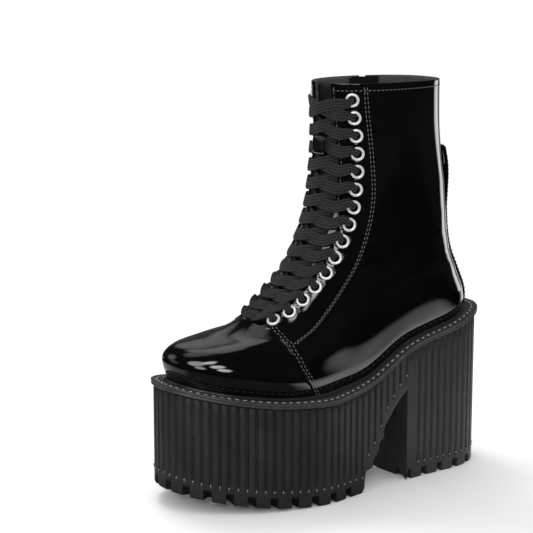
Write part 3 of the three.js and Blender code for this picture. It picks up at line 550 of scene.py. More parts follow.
def addCopies(name, centres, forward, outward, size, finish, segments=8, rings=6):
    # rounded copies: centre + forward * x * size0 + aside * y * size1 + outward * z * size2
    grid, quads = roundGrid(segments, rings)
    local = grid.reshape(-1, 3)
    aside = unit(np.cross(outward, forward))
    points = centres[:, None]
    for k, axis in enumerate((forward, aside, outward)):
        points = points + local[None, :, k:k + 1] * size[k] * axis[:, None]
    faces = (quads[None] + np.arange(len(centres))[:, None, None] * len(local)).reshape(-1, 4)
    return addMesh(name, points, faces, finishes[finish], weld=True)


def evenAlong(points, pitch, *others):  # places every pitch along a line, with other values read there
    run = lengthAlong(points)
    count = max(int(run[-1] / pitch), 1)
    at = (np.arange(count) + 0.5) * run[-1] / count
    return [np.stack([np.interp(at, run, p[:, k]) for k in range(p.shape[1])], -1) for p in (points, *others)]


stitchSize = {"pitch": 3.3, "length": 1.15, "thickness": 0.36, "rise": 0.1}
seamLines = []


def seamOn(level, angle, lift):  # a stitch every pitch along a line on the upper, at a lift over its surface
    level, angle = np.broadcast_arrays(np.asarray(level, float), np.asarray(angle, float))
    line = offUpper(level, angle, lift + stitchSize["rise"])
    centres, outward = evenAlong(line, stitchSize["pitch"], upperNormal(level, angle))
    seamLines.append((centres, unit(np.gradient(centres, axis=0)), unit(outward)))


def seamPair(level, angle, lift):  # the same seam on the outer and the inner side
    seamOn(level, angle, lift)
    seamOn(level, 2 * np.pi - angle, lift)


def finishSeams():  # all stitches of the upper in one piece
    centres, forward, outward = (np.concatenate(parts) for parts in zip(*seamLines))
    size = (stitchSize["length"], stitchSize["thickness"], stitchSize["thickness"])
    settle(addCopies("upperStitches", centres, forward, outward, size, "thread", 6, 5), ())


# Platform sole

soleParts = {
    "ribPitch": 6.5, "ribDepth": 1.25, "band": 11.0, "lugHeight": 7.5, "lugPitch": 16.0, "lugGap": 6.0,
    "lugReach": 14.0, "lugEdge": 0.15, "plainFrom": 84.0, "plainTo": 134.0, "breastStrip": 6.0,
    "spineStart": 34.0, "spineEnd": 226.0, "topReach": 12.0, "topInset": 0.3,
    # across one rib and its channel: place, and depth as a share; the bead stands in the channel
    "ribPlace": [0, 0.26, 0.3, 0.33, 0.39, 0.43, 0.5, 0.57, 0.61, 0.67, 0.7, 0.74, 1.0],
    "ribCut": [0, 0, 0.08, 1, 1, 0.6, 0.42, 0.6, 1, 1, 0.08, 0, 0],
    # heights of the band's rows over the ground, and how far the lowest are drawn in
    "bandRows": [0, 0.5, 1.4, 5.0, 7.4, 9.4, 10.75, 11.25],
    "bandInset": [0.7, 0.25, 0.0, 0, 0, 0, 0, 0],
    # the arch's curve, from the heel's front face to the ground at archEnd
    "archFrom": 84.95, "archEnd": 131.4, "archTo": 132.0, "breastAlong": [84.9, 85.1, 85.6],
    "archAlong": [85.6, 92, 98, 104, 107.4, 108.9, 109.4, 108.9, 110.6, 112.8, 113.9, 114.2, 114.0, 116.4, 118.8,
                  120.2, 120.6, 120.8, 123.5, 126.6, 128.2, 129.0, 129.6, 131.4],
    "archHeight": [70.4, 65, 58.4, 51.3, 47.0, 44.2, 41.0, 38.0, 36.6, 35.6, 33.4, 30.4, 27.4, 25.8, 24.4,
                   22.0, 19.4, 17.4, 16.6, 16.2, 14.2, 9.0, 3.0, 0.0],
}
# pips at the channels' lower ends, light grey: painted highlights
pip = {"grow": 0.15, "lift": 1.2, "size": (0.85, 0.75, 0.6)}


def floorHeight(along):  # underside: ground at the heel, the arch's curve, toe spring in front
    arch = np.interp(along, np.maximum.accumulate(soleParts["archAlong"]), soleParts["archHeight"])
    inArch = (along >= last["heelLength"]) & (along < soleParts["archEnd"])
    return np.where(inArch, arch, 0) + springAt(along)


def halfOutline():  # angles from heel to toe on the outer half, with the length run along it
    angle = np.linspace(0, np.pi, 4001)
    along, side = outlinePoint(np.clip(angle, 1e-6, np.pi - 1e-6))
    run = np.concatenate([[0], np.cumsum(np.hypot(np.diff(along), np.diff(side)))])
    return angle, run


def nearBreast(along):  # the plain strip just behind the heel's front face
    return (np.abs(along - last["heelLength"]) < soleParts["breastStrip"]) & (along < last["heelLength"])


def addSole(angle, run, ribs):  # rows round the outline: underside, wall less the ribs' cut, top, closed inward
    pitch = run[-1] / ribs
    ribPlace = np.array(soleParts["ribPlace"])
    ribRuns = (np.arange(ribs)[:, None] + ribPlace[None, :-1]).ravel() * pitch
    gapCount = round(run[-1] / soleParts["lugPitch"])
    gapRun = (np.arange(gapCount) + 0.5) * run[-1] / gapCount
    edges = np.array([-1, 1]) * soleParts["lugEdge"]
    half = soleParts["lugGap"] / 2
    gapRuns = (gapRun[:, None] + np.concatenate([edges - half, edges + half])[None]).ravel()
    archPlaces = np.array([*soleParts["breastAlong"], *soleParts["archAlong"][1:]])
    archRuns = np.interp(np.arccos(1 - 2 * archPlaces / last["soleLength"]), angle, run)
    runs = np.unique(np.round(np.concatenate([ribRuns, gapRuns, archRuns, [run[-1]]]), 3))
    runs = runs[(runs >= 0) & (runs <= run[-1])]
    turn = np.interp(runs, run, angle)
    turns = np.concatenate([turn, 2 * np.pi - turn[-2:0:-1]])
    runs = np.concatenate([runs, runs[-2:0:-1]])
    along, _ = outlinePoint(turns)
    bottom = floorHeight(along)
    top = baseAt(along)
    hasLugs = (along < soleParts["plainFrom"]) | (along > soleParts["plainTo"])
    inGap = (np.abs(runs[:, None] - gapRun[None]) < half).any(1) & hasLugs
    lift = np.where(inGap, soleParts["lugHeight"], 0.0)
    cut = np.interp((runs / pitch) % 1, ribPlace, soleParts["ribCut"]) * soleParts["ribDepth"]
    # the wall's heights, and how far each row is drawn in
    low, lowInset = np.array(soleParts["bandRows"]), np.array(soleParts["bandInset"])
    share = np.linspace(0, 1, 12)[1:]
    start = bottom + low[-1]
    body = start[None] + share[:, None] * (top - 0.4 - start)[None]
    heights = np.concatenate([np.maximum(bottom[None] + low[:, None], (bottom + lift)[None]), body, top[None]])
    hasRibs = np.concatenate([np.zeros(len(low) - 1), np.ones(len(share) + 1), [0]])
    inset = np.concatenate([lowInset, np.zeros(len(share)), [soleParts["topInset"]]])
    inset = inset[:, None] + hasRibs[:, None] * np.where(nearBreast(along), 0, cut)
    alongs, sides = outlinePoint(turns[None], -inset)
    wall = toWorld(alongs, sides, heights)
    # underside and top close on the centre line, from both sides at the same places
    spine = np.clip(along, soleParts["spineStart"], soleParts["spineEnd"])
    spineSide = readColumn(outlineTable["centre"], spine / last["soleLength"] * 8) * last["ballWidth"]
    distance = np.hypot(alongs[0] - spine, sides[0] - spineSide)

    def inward(reach, row, height):  # a row moved by its reach towards the centre line
        part = np.clip(reach / distance, 0, 1)
        newAlong, newSide = mix(alongs[row], spine, part), mix(sides[row], spineSide, part)
        return toWorld(newAlong, newSide, height(newAlong))

    nearArch = (along > soleParts["archFrom"]) & (along < soleParts["archTo"])

    def underside(newAlong):  # the outline's own height near the arch, the floor's elsewhere
        return np.where(nearArch, bottom, floorHeight(newAlong))

    reach = soleParts["lugReach"]
    under = [inward(1e6, 0, underside), inward(reach + 0.2, 0, underside),
             inward(reach, 0, lambda newAlong: underside(newAlong) + lift)]
    over = [inward(soleParts["topReach"], -1, baseAt), inward(1e6, -1, baseAt)]
    points = np.concatenate([np.stack(under), wall, np.stack(over)])
    piece = addMesh("ribbedPlatform", points, gridQuads(len(points), len(turns), True), finishes["rubber"], weld=True)
    settle(piece, ["platform_sole"])


def addHighlightPips(angle, run, ribs):  # one rounded light pip at the lower end of each channel, half a pitch on from each rib: a painted highlight for the small glint there
    turn = np.interp((np.arange(ribs) + 0.5) * run[-1] / ribs, run, angle)
    turn = np.concatenate([turn, 2 * np.pi - turn])
    along, side = outlinePoint(turn, pip["grow"])
    kept = ~nearBreast(along)
    centres = toWorld(along, side, floorHeight(along) + soleParts["band"] + pip["lift"])[kept]
    ahead, behind = (toWorld(*outlinePoint(turn + step, -0.35), 0)[kept] for step in (0.002, -0.002))
    outward = unit(np.cross(ahead - behind, upward))
    up = np.tile(upward, (len(centres), 1))
    settle(addCopies("channelHighlightPips", centres, up, outward, pip["size"], "pip"), ())


outlineAngle, outlineRun = halfOutline()
ribCount = round(outlineRun[-1] / soleParts["ribPitch"])
addSole(outlineAngle, outlineRun, ribCount)
addHighlightPips(outlineAngle, outlineRun, ribCount)
print("sole made")


# Welt: a moulded profile carried round the outline, and a bead against the upper

weltProfile = {
    "grow": [-14, -14, -4, 0.6, 1.35, 1.75, 1.7, 1.3, 1.15, 1.4, 1.8, 1.75, 1.3, 0.6, -0.3, -1.0, -1.3,
             -1.8, -2.6, -3.4, -3.9, -4.4, -5.4, -9],
    "lift": [3.0, 0.7, 0.6, 0.65, 0.9, 1.4, 2.0, 2.4, 2.7, 3.0, 3.5, 4.2, 4.75, 5.0, 5.05, 4.9, 4.55,
             4.4, 4.35, 4.4, 4.6, 4.95, 5.1, 5.1],
}
weltSeam = {"pitch": 5.6, "grow": -2.4, "lift": 4.7, "size": (1.5, 0.6, 0.5)}
ridge = {"outset": 1.5, "lift": 0.2, "radius": 1.55}
# the sock inside: rows from the edge to the centre line, each a share of the way and a height
sock = {"start": 45, "end": 215, "rows": ((1, 0.2), (0.055, 0.2), (0.05, 1.6), (0.06, 2.5), (0.09, 2.9), (0.2, 2.6),
                                          (0.45, 2.3), (1, 2.2))}


def tubeRound(line, across, rise, radius, count):  # rings on a line: point + (across * cos + rise * sin) * radius
    ring = fullTurn(count)[:, None, None]
    return line + across * (radius * np.cos(ring)) + rise * (radius * np.sin(ring))


def addWelt():  # the profile's grow and lift in rows round the outline, closed to a ring
    turn = fullTurn(480)
    grow, lift = (np.array(weltProfile[key])[:, None] for key in ("grow", "lift"))
    along, side = outlinePoint(turn[None], grow)
    points = toWorld(along, side, baseAt(along) + lift)
    # its rubber is painted lighter than the platform's, partly as a highlight on the rim's edges
    settle(addMesh("weltRand", points, ringQuads(len(grow), len(turn)), finishes["rim"]), ["welt"])


def addWeltStitches():  # a stitch every pitch round the ledge, lying along it
    along, side = outlinePoint(np.linspace(0, 2 * np.pi, 1201), weltSeam["grow"])
    line = toWorld(along, side, baseAt(along) + weltSeam["lift"])
    centres = evenAlong(line, weltSeam["pitch"])[0]
    forward = loopHeading(centres)
    outward = unit(np.cross(np.cross(forward, upward), forward))
    settle(addCopies("weltStitches", centres, forward, outward, weltSeam["size"], "weltThread"), ())


def addBead():  # round bead against the foot of the upper: feather line + outward * outset
    turn = fullTurn(360)
    line = upperPoint(0, turn)
    outward = unit(np.cross(upward, loopHeading(line)))
    outward = outward * np.sign(np.sum(outward * upperNormal(0, turn), -1))[:, None]
    middle = line + outward * ridge["outset"] + upward * ridge["lift"]
    points = tubeRound(middle, outward, upward, ridge["radius"], 12)
    settle(addMesh("weltBead", points, ringQuads(12, len(turn)), finishes["bead"]), ())


def addInsole():  # sock: the feather line drawn in, a soft crown, closed on the centre line
    edge = upperPoint(0, fullTurn(240))
    along = last["heelLength"] / 2 - edge[:, 1]
    spine = np.clip(along, sock["start"], sock["end"])
    rows = []
    for share, lift in sock["rows"]:
        rowAlong, rowSide = mix(along, spine, share), mix(edge[:, 0], centreAt(spine), share)
        rows.append(toWorld(rowAlong, rowSide, baseAt(rowAlong) + last["weltTop"] + lift))
    points = np.stack(rows)
    uv = points[..., :2].reshape(-1, 2) * 0.001
    piece = addMesh("insoleSock", points, gridQuads(len(rows), len(edge), True), finishes["lining"], uv=uv, weld=True)
    settle(piece, ["insole"])


addWelt()
addWeltStitches()
addBead()
addInsole()
print("welt and insole made")


# Upper: quarters, vamp and lining as sheets on its surface

upperParts = {
    "quarterHigh": 0.5, "quarterLow": -0.8, "liningHigh": -1.15, "liningLow": -1.9, "hole": 3.35, "zipEdge": 3.0,
    "flapSet": 1.0, "flapOpen": 3.0, "openFrom": 11.2, "openOver": 1.2, "seamEnd": 6.25,
}
vampParts = {"high": -0.15, "low": -1.1, "underFlap": -0.95, "top": 6.1, "tuck": 9.0, "topTuck": 3.0,
             "topTuckFrom": 5.6, "seamUpTo": 5.9}
eyelets = {"pairs": 15, "topLevel": 12.62, "lowLevel": 6.15, "beside": 9.0, "segments": 32}
# stitching: levels from, to and steps, and the distances of its rows from each line; then the eyestay's line,
# as levels and angles in half turns
seams = {
    "flap": ((6.6, 12.9, 160), (-2.4,)), "stay": ((12.9, 3.9, 200), (-1.1, 1.1)),
    "front": ((0.15, 6.3, 200), (-2.0, -4.6)), "zip": ((6.1, 12.9, 200), (-5.2, -8.6, 5.2, 8.6)), "collar": 12.8,
    "stayLevel": [12.95, 12.48, 12.23, 11.78, 11.45, 11.18, 10.65, 10.0, 9.13, 8.13, 7.05, 6.2, 5.4, 4.6, 3.85],
    "stayAngle": [.722, .718, .707, .691, .681, .673, .659, .656, .651, .652, .664, .664, .668, .673, .678],
}


def holeSide(level):  # how far the eyelets stand beside the centre line: half the throat and a margin
    return throatHalf(level) + eyelets["beside"]


def eyeletPlaces():  # top row first, even steps along the throat's edge
    levels = np.linspace(eyelets["topLevel"], eyelets["lowLevel"], 1201)
    run = lengthAlong(upperPoint(levels, angleBeside(levels, holeSide(levels))))
    level = np.interp(np.linspace(0, run[-1], eyelets["pairs"]), run, levels)
    return level, np.stack([angleBeside(level, holeSide(level)), angleBeside(level, -holeSide(level))], 1)


eyeletLevel, eyeletAngle = eyeletPlaces()
eyeletPoint = upperPoint(eyeletLevel[:, None], eyeletAngle)
eyeletNormal = upperNormal(eyeletLevel[:, None], eyeletAngle)


def dentsAt(level, angle):  # soft unevenness of the leather: two products of slow sine waves
    waves = 0.16 * np.sin(2.1 * level + 3 * angle) * np.sin(1.3 * level - 4 * angle + 1)
    fine = 0.04 * np.sin(5.3 * level + 7 * angle + 2) * np.sin(3.1 * level - 9 * angle)
    return waves + fine


def awayFromHoles(points):  # true where the nearest eyelet is further than the hole's radius
    distance = np.linalg.norm(points[..., None, :] - eyeletPoint.reshape(-1, 3), axis=-1).min(-1).ravel()
    return distance > upperParts["hole"]


def frontEdge(level):  # the quarters' front edge: beside the vamp below, beside the throat above
    seam = np.interp(level, quarterEdge["level"], quarterEdge["angle"]) * np.pi
    high = np.clip(level, throat["level"][0], last["topLevel"])
    opening = upperParts["flapOpen"] * smooth((high - upperParts["openFrom"]) / upperParts["openOver"])
    flap = angleBeside(high, throatHalf(high) - upperParts["flapSet"] - opening)
    return np.where(level < upperParts["seamEnd"], np.minimum(seam, flap), flap)


def zipEdges(rows, half):  # angles behind and before the zip; below its end the last place goes on
    middle = zipAngle(np.maximum(rows, zipLine["end"]))
    return angleAside(rows, middle, half) - 2 * np.pi, angleAside(rows, middle, -half)


def addQuarters():  # outer half and back in one sheet up to the zip, then the inner flap; below it they meet flush
    rows = np.concatenate([spread(1, 0.012, 0.02) * 13.0, np.linspace(6, 13, 150), np.linspace(5.4, 6.6, 20)])
    rows = np.unique(rows)
    edge = frontEdge(rows)
    zipBack, zipFront = zipEdges(rows, np.where(rows >= zipLine["end"] + 0.05, upperParts["zipEdge"], 0.05))
    first, second = spread(1, 0.012, 0.0085), spread(1, 0.02, 0.016)
    outerAngle = mix(edge[:, None], zipBack[:, None], first[None])
    innerAngle = mix(zipFront[:, None], (2 * np.pi - edge)[:, None], second[None])
    flush = np.where(rows < zipLine["end"], 0.02, 0.7)[:, None]
    outerRadius = np.where(first[None] > 0.6, flush, 0.7)
    innerRadius = np.where(second[None] < 0.4, flush, 0.7)
    level = rows[:, None]
    for name, nodes, angle, radius in (("quarterOuter", ["upper"], outerAngle, outerRadius),
                                       ("quarterInner", [], innerAngle, innerRadius)):
        high = upperParts["quarterHigh"] + dentsAt(level, angle)
        leatherSheet(name, nodes, level, angle, high, upperParts["quarterLow"], "patent", radius,
                     "tlr", awayFromHoles)


def stayLine(level):  # the eyestay's angle: its table read at the levels, then the mean of 21 neighbours
    angle = np.interp(level, seams["stayLevel"][::-1], np.array(seams["stayAngle"][::-1]) * np.pi)
    return np.convolve(np.pad(angle, 10, mode="edge"), np.ones(21) / 21, mode="valid")


def seamsBeside(name, line, add):  # rows of stitches at their distances beside a line on the upper
    levels, shifts = seams[name]
    level = np.linspace(*levels)
    for shift in shifts:
        add(level, angleAside(level, line(level), shift), upperParts["quarterHigh"])


def addQuarterSeams():  # along the flaps, the eyestays, the front seams, the collar and the zip
    high = upperParts["quarterHigh"]
    for name, line in (("flap", frontEdge), ("stay", stayLine), ("front", frontEdge)):
        seamsBeside(name, line, seamPair)
    start, zipTop = (float(place(np.array(12.85))) for place in (frontEdge, zipAngle))
    start -= 0.03
    seamOn(seams["collar"], np.linspace(start, zipTop + 0.1 - 2 * np.pi, 400), high)
    seamOn(seams["collar"], np.linspace(zipTop - 0.1, 2 * np.pi - start, 120), high)
    seamsBeside("zip", zipAngle, seamOn)


def addVamp():  # sheet from tuck to tuck under the quarters; it sinks where they cover it
    top = vampParts["top"]
    rows = np.unique(np.concatenate([np.linspace(0, top, 110), top - 0.012 * np.array([0.1, 0.4, 0.8])]))
    seam = np.minimum(frontEdge(np.minimum(rows, vampParts["seamUpTo"])), frontEdge(rows))
    reach = np.where(rows > vampParts["topTuckFrom"], vampParts["topTuck"], vampParts["tuck"])
    tuck = angleAside(rows, seam, -reach)
    angle = mix(tuck[:, None], (2 * np.pi - tuck)[:, None], np.linspace(0, 1, 260)[None])
    level = rows[:, None]
    under = smooth((seam[:, None] - np.minimum(angle, 2 * np.pi - angle)) / 0.025 + 0.5)
    high = mix(vampParts["high"], vampParts["underFlap"], under) + (1 - under) * dentsAt(level, angle)
    leatherSheet("vamp", [], level, angle, high, vampParts["low"], "patent", 0.8, "t")


def addLining():  # two sheets inside the quarters, shut in front below the throat, with room for the zip
    rows = np.linspace(0.0, 12.985, 150)
    shut = rows < 6.1
    share = np.linspace(0, 1, 220)
    flap = angleAside(rows, frontEdge(rows), -0.7)
    zipBack, zipFront = zipEdges(rows, np.where(rows >= 6.05, 3.4, 0.02))
    outerAngle = mix(np.where(shut, np.pi, flap)[:, None], zipBack[:, None], share[None])
    innerAngle = mix(zipFront[:, None], np.where(shut, np.pi, 2 * np.pi - flap)[:, None], share[None, ::2])
    for name, angle in (("liningOuter", outerAngle), ("liningInner", innerAngle)):
        leatherSheet(name, [], rows[:, None], angle, upperParts["liningHigh"],
                     upperParts["liningLow"], "lining", 0.3, "t", awayFromHoles)


addQuarters()
addQuarterSeams()
addVamp()
addLining()
print("upper made")


# Tongue, its loop, the back strip

tongue = {"low": 5.15, "top": 12.95, "edge": -2.2, "middle": -4.6, "arch": 0.7, "thickness": 2.2}
# the strip: half widths by level, lift over the upper, and how far its free end leans out
strip = {"level": [0, 1, 4, 9, 10.4, 11.1], "half": [18, 17, 16.5, 16.5, 16, 13], "low": 0.12, "top": 11.1,
         "lift": 3.1, "lean": 4.6, "leanFrom": 8.2, "leanOver": 2.9, "crown": 0.5, "thickness": 2.2, "seam": 2.2}


def tongueAngle(level, share):  # from edge to edge under the flaps
    edge = angleBeside(level, holeSide(np.maximum(level, throat["level"][0])) * 0.995)
    return edge * (1 - share) + (2 * np.pi - edge) * share


def addTongue():  # sheet that sinks below the flaps and comes forward a little at its middle
    rows = np.linspace(tongue["low"], tongue["top"], 130)
    share = np.concatenate([[0, 0.006, 0.016, 0.03], np.linspace(0.05, 0.95, 60), [0.97, 0.984, 0.994, 1]])
    level = rows[:, None]
    angle = tongueAngle(level, share[None])
    waves = 0.15 * np.sin(level * 3.0 + angle * 2)
    middle = tongue["middle"] + tongue["arch"] * np.sin(np.pi * share)[None] + waves
    depth = mix(tongue["edge"], middle, smooth((level - tongue["low"]) / 0.6))
    leatherSheet("tongueSheet", ["tongue"], level, angle, depth, depth - tongue["thickness"],
                 "tongue", 1.0)


def stripLift(level):  # lift over the upper, growing towards the free end
    return strip["lift"] + strip["lean"] * smooth((level - strip["leanFrom"]) / strip["leanOver"])


def addBackStrip():  # sheet over the heel's back: half width by level, crowned by 1 - across^2
    rows = np.linspace(strip["low"], strip["top"], 130)
    across = np.concatenate([[0, 0.02, 0.06, 0.12], np.linspace(0.18, 0.82, 19), [0.88, 0.94, 0.98, 1]]) * 2 - 1
    half = np.interp(rows, strip["level"], strip["half"])
    speed = np.linalg.norm(upperPoint(rows, 0.06) - upperPoint(rows, -0.06), axis=-1) / 0.12
    level = rows[:, None]
    angle = across[None] * (half / speed)[:, None]
    lift = stripLift(level) + dentsAt(level, angle) * 0.5
    leatherSheet("backStay", ["back_strip"], level, angle,
                 lift + strip["crown"] * (1 - across[None] ** 2), lift - strip["thickness"], "patent", 1.5)
    inner = (half - strip["seam"]) / speed
    for sign in (-1, 1):
        seamOn(rows[3:-4], sign * inner[3:-4], stripLift(rows[3:-4]))


addTongue()
addBackStrip()
print("tongue and back strip made")


# Lace: one flat cord through all eyelets, its ends hidden under the top pair

cord = {
    "width": 8.8, "thickness": 1.5, "over": 2.3, "under": -3.1, "hump": 0.95, "barWidth": 7.4, "barDepth": -3.6,
    # beside a hole: out along its normal, on along the lace's heading, width, thickness
    "leaving": ((-2.4, 0, 5.2, 1.9), (0.4, 0, 4.6, 2.1), (1.9, 1.6, 4.8, 1.9), (2.3, 5.6, 6.8, 1.5)),
    "entering": ((2.3, -5.4, 7.6, 1.5), (1.9, -1.6, 4.8, 1.9), (0.4, 0, 4.6, 2.1), (-2.4, 0, 5.0, 1.9)),
    "passing": ((-3.1, -4.5, 7.6, 1.5),),
}
# the leather loop that the lace passes under: shares between two rows of eyelets, distances and widths
keeper = {"row": 2, "share": [0, 0, 0, 0.12, 0.5, 0.88, 1, 1, 1], "thickness": 1.3,
          "distance": [-4.3, -2.0, 0.6, 2.7, 3.0, 2.7, 0.6, -2.0, -4.3],
          "width": [4.5, 4.8, 10.0, 14.0, 14.2, 14.0, 10.0, 4.8, 4.5]}
# the eyelet's section: radius and height over the leather
eyeletProfile = np.array([[3.2, -2.2], [3.15, 0.7], [3.3, 1.25], [3.7, 1.6], [4.2, 1.68], [4.7, 1.45],
                          [5.05, 1.0], [5.12, 0.6], [4.95, 0.42], [3.9, 0.4], [3.75, -2.2]])


def carried(stations, steps):  # Catmull-Rom through rows of numbers, even steps between them
    values = np.asarray(stations)
    at = np.linspace(0, len(values) - 1, (len(values) - 1) * steps + 1)
    return np.stack([readColumn(values[:, k], at) for k in range(values.shape[1])], -1)


def cordPiece(rows):
    # section |u|^5 + |v|^2.4 = 1 scaled by width and thickness on each station, ends closed to a point
    line, aside, width, thickness = rows[:, :3], rows[:, 3:6], rows[:, 6], rows[:, 7]
    forward = unit(np.gradient(line, axis=0))
    aside = unit(aside - forward * np.sum(aside * forward, -1, keepdims=True))
    up = np.cross(forward, aside)
    turn = fullTurn(18)
    u, v = signedPower(np.cos(turn), 0.4), signedPower(np.sin(turn), 0.85)
    ring = line[:, None] + aside[:, None] * (u[None] * width[:, None] / 2)[..., None] \
        + up[:, None] * (v[None] * thickness[:, None] / 2)[..., None]
    caps = np.broadcast_to(line[[0, -1]][:, None], (2, len(turn), 3))
    points = np.concatenate([caps[:1], ring, caps[1:]])
    run = lengthAlong(line)
    run = np.concatenate([run[:1], run, run[-1:]])
    across = u[None] * np.concatenate([width[:1], width, width[-1:]])[:, None] / 2 + 20
    uv = np.stack([across, np.broadcast_to(run[:, None], across.shape)], -1).reshape(-1, 2) * 0.001
    return points.reshape(-1, 3), gridQuads(len(points), len(turn), True), uv


def joined(name, parts, finish):  # several cords in one piece, each one's faces counted on from the last
    starts = np.cumsum([0] + [len(part[0]) for part in parts[:-1]])
    points = np.concatenate([part[0] for part in parts])
    faces = np.concatenate([part[1] + start for part, start in zip(parts, starts)])
    return addMesh(name, points, faces, finishes[finish], uv=np.concatenate([part[2] for part in parts]), weld=True)


def besideHole(point, normal, heading, aside, steps):  # stations: point + normal * out + heading * on
    return [[*(point + normal * out + heading * on), *aside, width, thick] for out, on, width, thick in steps]


def strandStations(row, side):
    # from the hole's underside in a row, out, over the near edge, across, to under the opposite hole above
    other = 1 - side
    sign = 1 if side == 0 else -1
    low, high = eyeletLevel[row], eyeletLevel[row - 1]
    p, n = eyeletPoint[row, side], eyeletNormal[row, side]
    q, m = eyeletPoint[row - 1, other], eyeletNormal[row - 1, other]
    heading = unit((q - p) - n * np.dot(q - p, n))
    arriving = unit((q - p) - m * np.dot(q - p, m))
    aside = unit(np.cross(n, heading))
    asideEnd = unit(np.cross(m, arriving))
    spanLow, spanHigh = holeSide(low), holeSide(high)
    over = row == 1  # the top crossing lies over all, and goes in from above
    stations = besideHole(p, n, heading, aside, cord["leaving"])
    hump = (cord["hump"] if side else -cord["hump"]) + (2.4 if over else 0)
    farDistance = cord["over"] if over else cord["under"] + 0.3
    edges = [(spanLow - throatHalf(low), sign * throatHalf(low), 1.9),
             (spanLow, 0.0, hump),
             (spanLow + throatHalf(high) * 0.8, -sign * throatHalf(high) * 0.8, farDistance)]
    for across, beside, distance in edges:
        level = mix(low, high, across / (spanLow + spanHigh))
        angle = np.pi if beside == 0 else float(angleBeside(level, beside))
        point = upperPoint(level, angle) + upperNormal(level, np.array(angle)) * distance
        sideways = unit(mix(aside, asideEnd, across / (spanLow + spanHigh)))
        stations.append([*point, *sideways, cord["width"], cord["thickness"]])
    return stations + besideHole(q, m, arriving, asideEnd, cord["entering" if over else "passing"])


def addLace():  # two halves, each from the middle of the bottom bar through every row to a top eyelet
    parts = []
    lowRow = eyelets["pairs"] - 1
    for first, sign in ((0, 1), (1, -1)):
        level = eyeletLevel[lowRow]
        beside = holeSide(level) * np.array([0.0, 0.35, 0.7]) * sign
        angle = np.where(beside == 0, np.pi, angleBeside(level, beside))
        normal = upperNormal(np.full(3, level), angle)
        point = upperPoint(level, angle) + normal * cord["barDepth"]
        aside = unit(np.cross(normal, np.array([sign * 1.0, 0, 0])))
        stations = [[*point[k], *aside[k], cord["barWidth"], 1.6] for k in range(3)]
        side = first
        for row in range(lowRow, 0, -1):
            stations += strandStations(row, side)
            side = 1 - side
        rows = np.array(stations)
        against = np.sum(rows[1:, 3:6] * rows[:-1, 3:6], -1) < 0
        rows[:, 3:6] *= np.cumprod(np.concatenate([[1], np.where(against, -1, 1)]))[:, None]  # no half twists
        parts.append(cordPiece(carried(rows, 7)))
    settle(joined("flatLace", parts, "lace"), ["lace"])


def addEyelets():  # the profile turned round each hole's normal: point + ring * radius + normal * height
    rows, segments, pairs = len(eyeletProfile), eyelets["segments"], eyelets["pairs"]
    turn = fullTurn(segments)
    radius, height = (eyeletProfile[None, :, k, None, None] for k in (0, 1))
    for side, name in ((0, "lateral"), (1, "medial")):
        normal = eyeletNormal[:, side]
        east = unit(np.cross(normal, upward))
        north = np.cross(normal, east)
        ring = np.cos(turn)[None, :, None] * east[:, None] + np.sin(turn)[None, :, None] * north[:, None]
        points = eyeletPoint[:, side][:, None, None] + radius * ring[:, None] + height * normal[:, None, None]
        faces = ringQuads(rows, segments)[None] + np.arange(pairs)[:, None, None] * rows * segments
        nodes = [f"eyelet_{name}_{k + 1:02d}" for k in range(pairs)]
        settle(addMesh(f"{name}Eyelets", points, faces.reshape(-1, 4), finishes["nickel"]), nodes)


def addLoop():  # flat band from inside the tongue, out, over two rows and back in
    level = mix(eyeletLevel[keeper["row"]], eyeletLevel[keeper["row"] + 1], np.array(keeper["share"]))
    count = len(level)
    point = offUpper(level, np.full(count, np.pi), np.array(keeper["distance"]))
    aside = np.tile([1.0, 0.0, 0.0], (count, 1))
    sizes = np.stack([keeper["width"], np.full(count, keeper["thickness"])], 1)
    rows = carried(np.concatenate([point, aside, sizes], 1), 6)
    settle(joined("laceKeeper", [cordPiece(rows)], "trim"), ["tongue_loop"])


addLace()
addEyelets()
addLoop()
print("lacing made")


# Zip on the inner side

zipParts = {"tapeHigh": -2.35, "tapeLow": -3.1, "halfTape": 13.0, "toothPitch": 1.7, "toothShift": 0.75,
            "toothSize": (0.5, 1.45, 0.75), "toothLift": -1.35, "lowTooth": 6.12, "highTooth": 12.72,
            "guardHigh": -3.45, "guardLow": -4.6, "guardFrom": 10.9}
# slider and pull: places up from the slider's level and out from the upper, with half sizes
slider = {
    "down": 9.0, "linkUp": -9.5, "linkHalf": (2.9, 4.4), "linkRadius": 0.62, "out": 4.4,
    "tabUp": -22.6, "tabHalf": (3.4, 10.8, 1.0),
    # the body, its head, the two posts of the bridge and its strap
    "blocks": ((-5, 1.4, (4.0, 5.0, 1.2)), (-1.3, 1.4, (4.6, 1.6, 1.15)), (-8.3, 3.95, (1.3, 0.55, 1.7)),
               (-1.7, 3.95, (1.3, 0.55, 1.7)), (-5, 5.95, (1.4, 3.8, 0.45))),
}
block = {"segments": 36, "rings": 19, "power": 0.25}


def addBlocks(name, blocks, axes, finish):  # boxes with rounded edges, joined: centre + axes * grid * half sizes
    grid, quads = roundGrid(**block)
    local = grid.reshape(-1, 3)
    points = [centre + (local * np.array(half)) @ np.array(axes) for centre, half in blocks]
    faces = [quads + k * len(local) for k in range(len(blocks))]
    return addMesh(name, np.concatenate(points), np.concatenate(faces), finishes[finish], weld=True)


def addZipSheet(name, nodes, rows, high, low, finish, edgeRadius):  # band of leather or tape along the zip
    across = np.linspace(-zipParts["halfTape"], zipParts["halfTape"], 25)
    angle = angleAside(rows[:, None], zipAngle(rows)[:, None], across[None])
    leatherSheet(name, nodes, rows[:, None], angle, high, low, finish, edgeRadius)


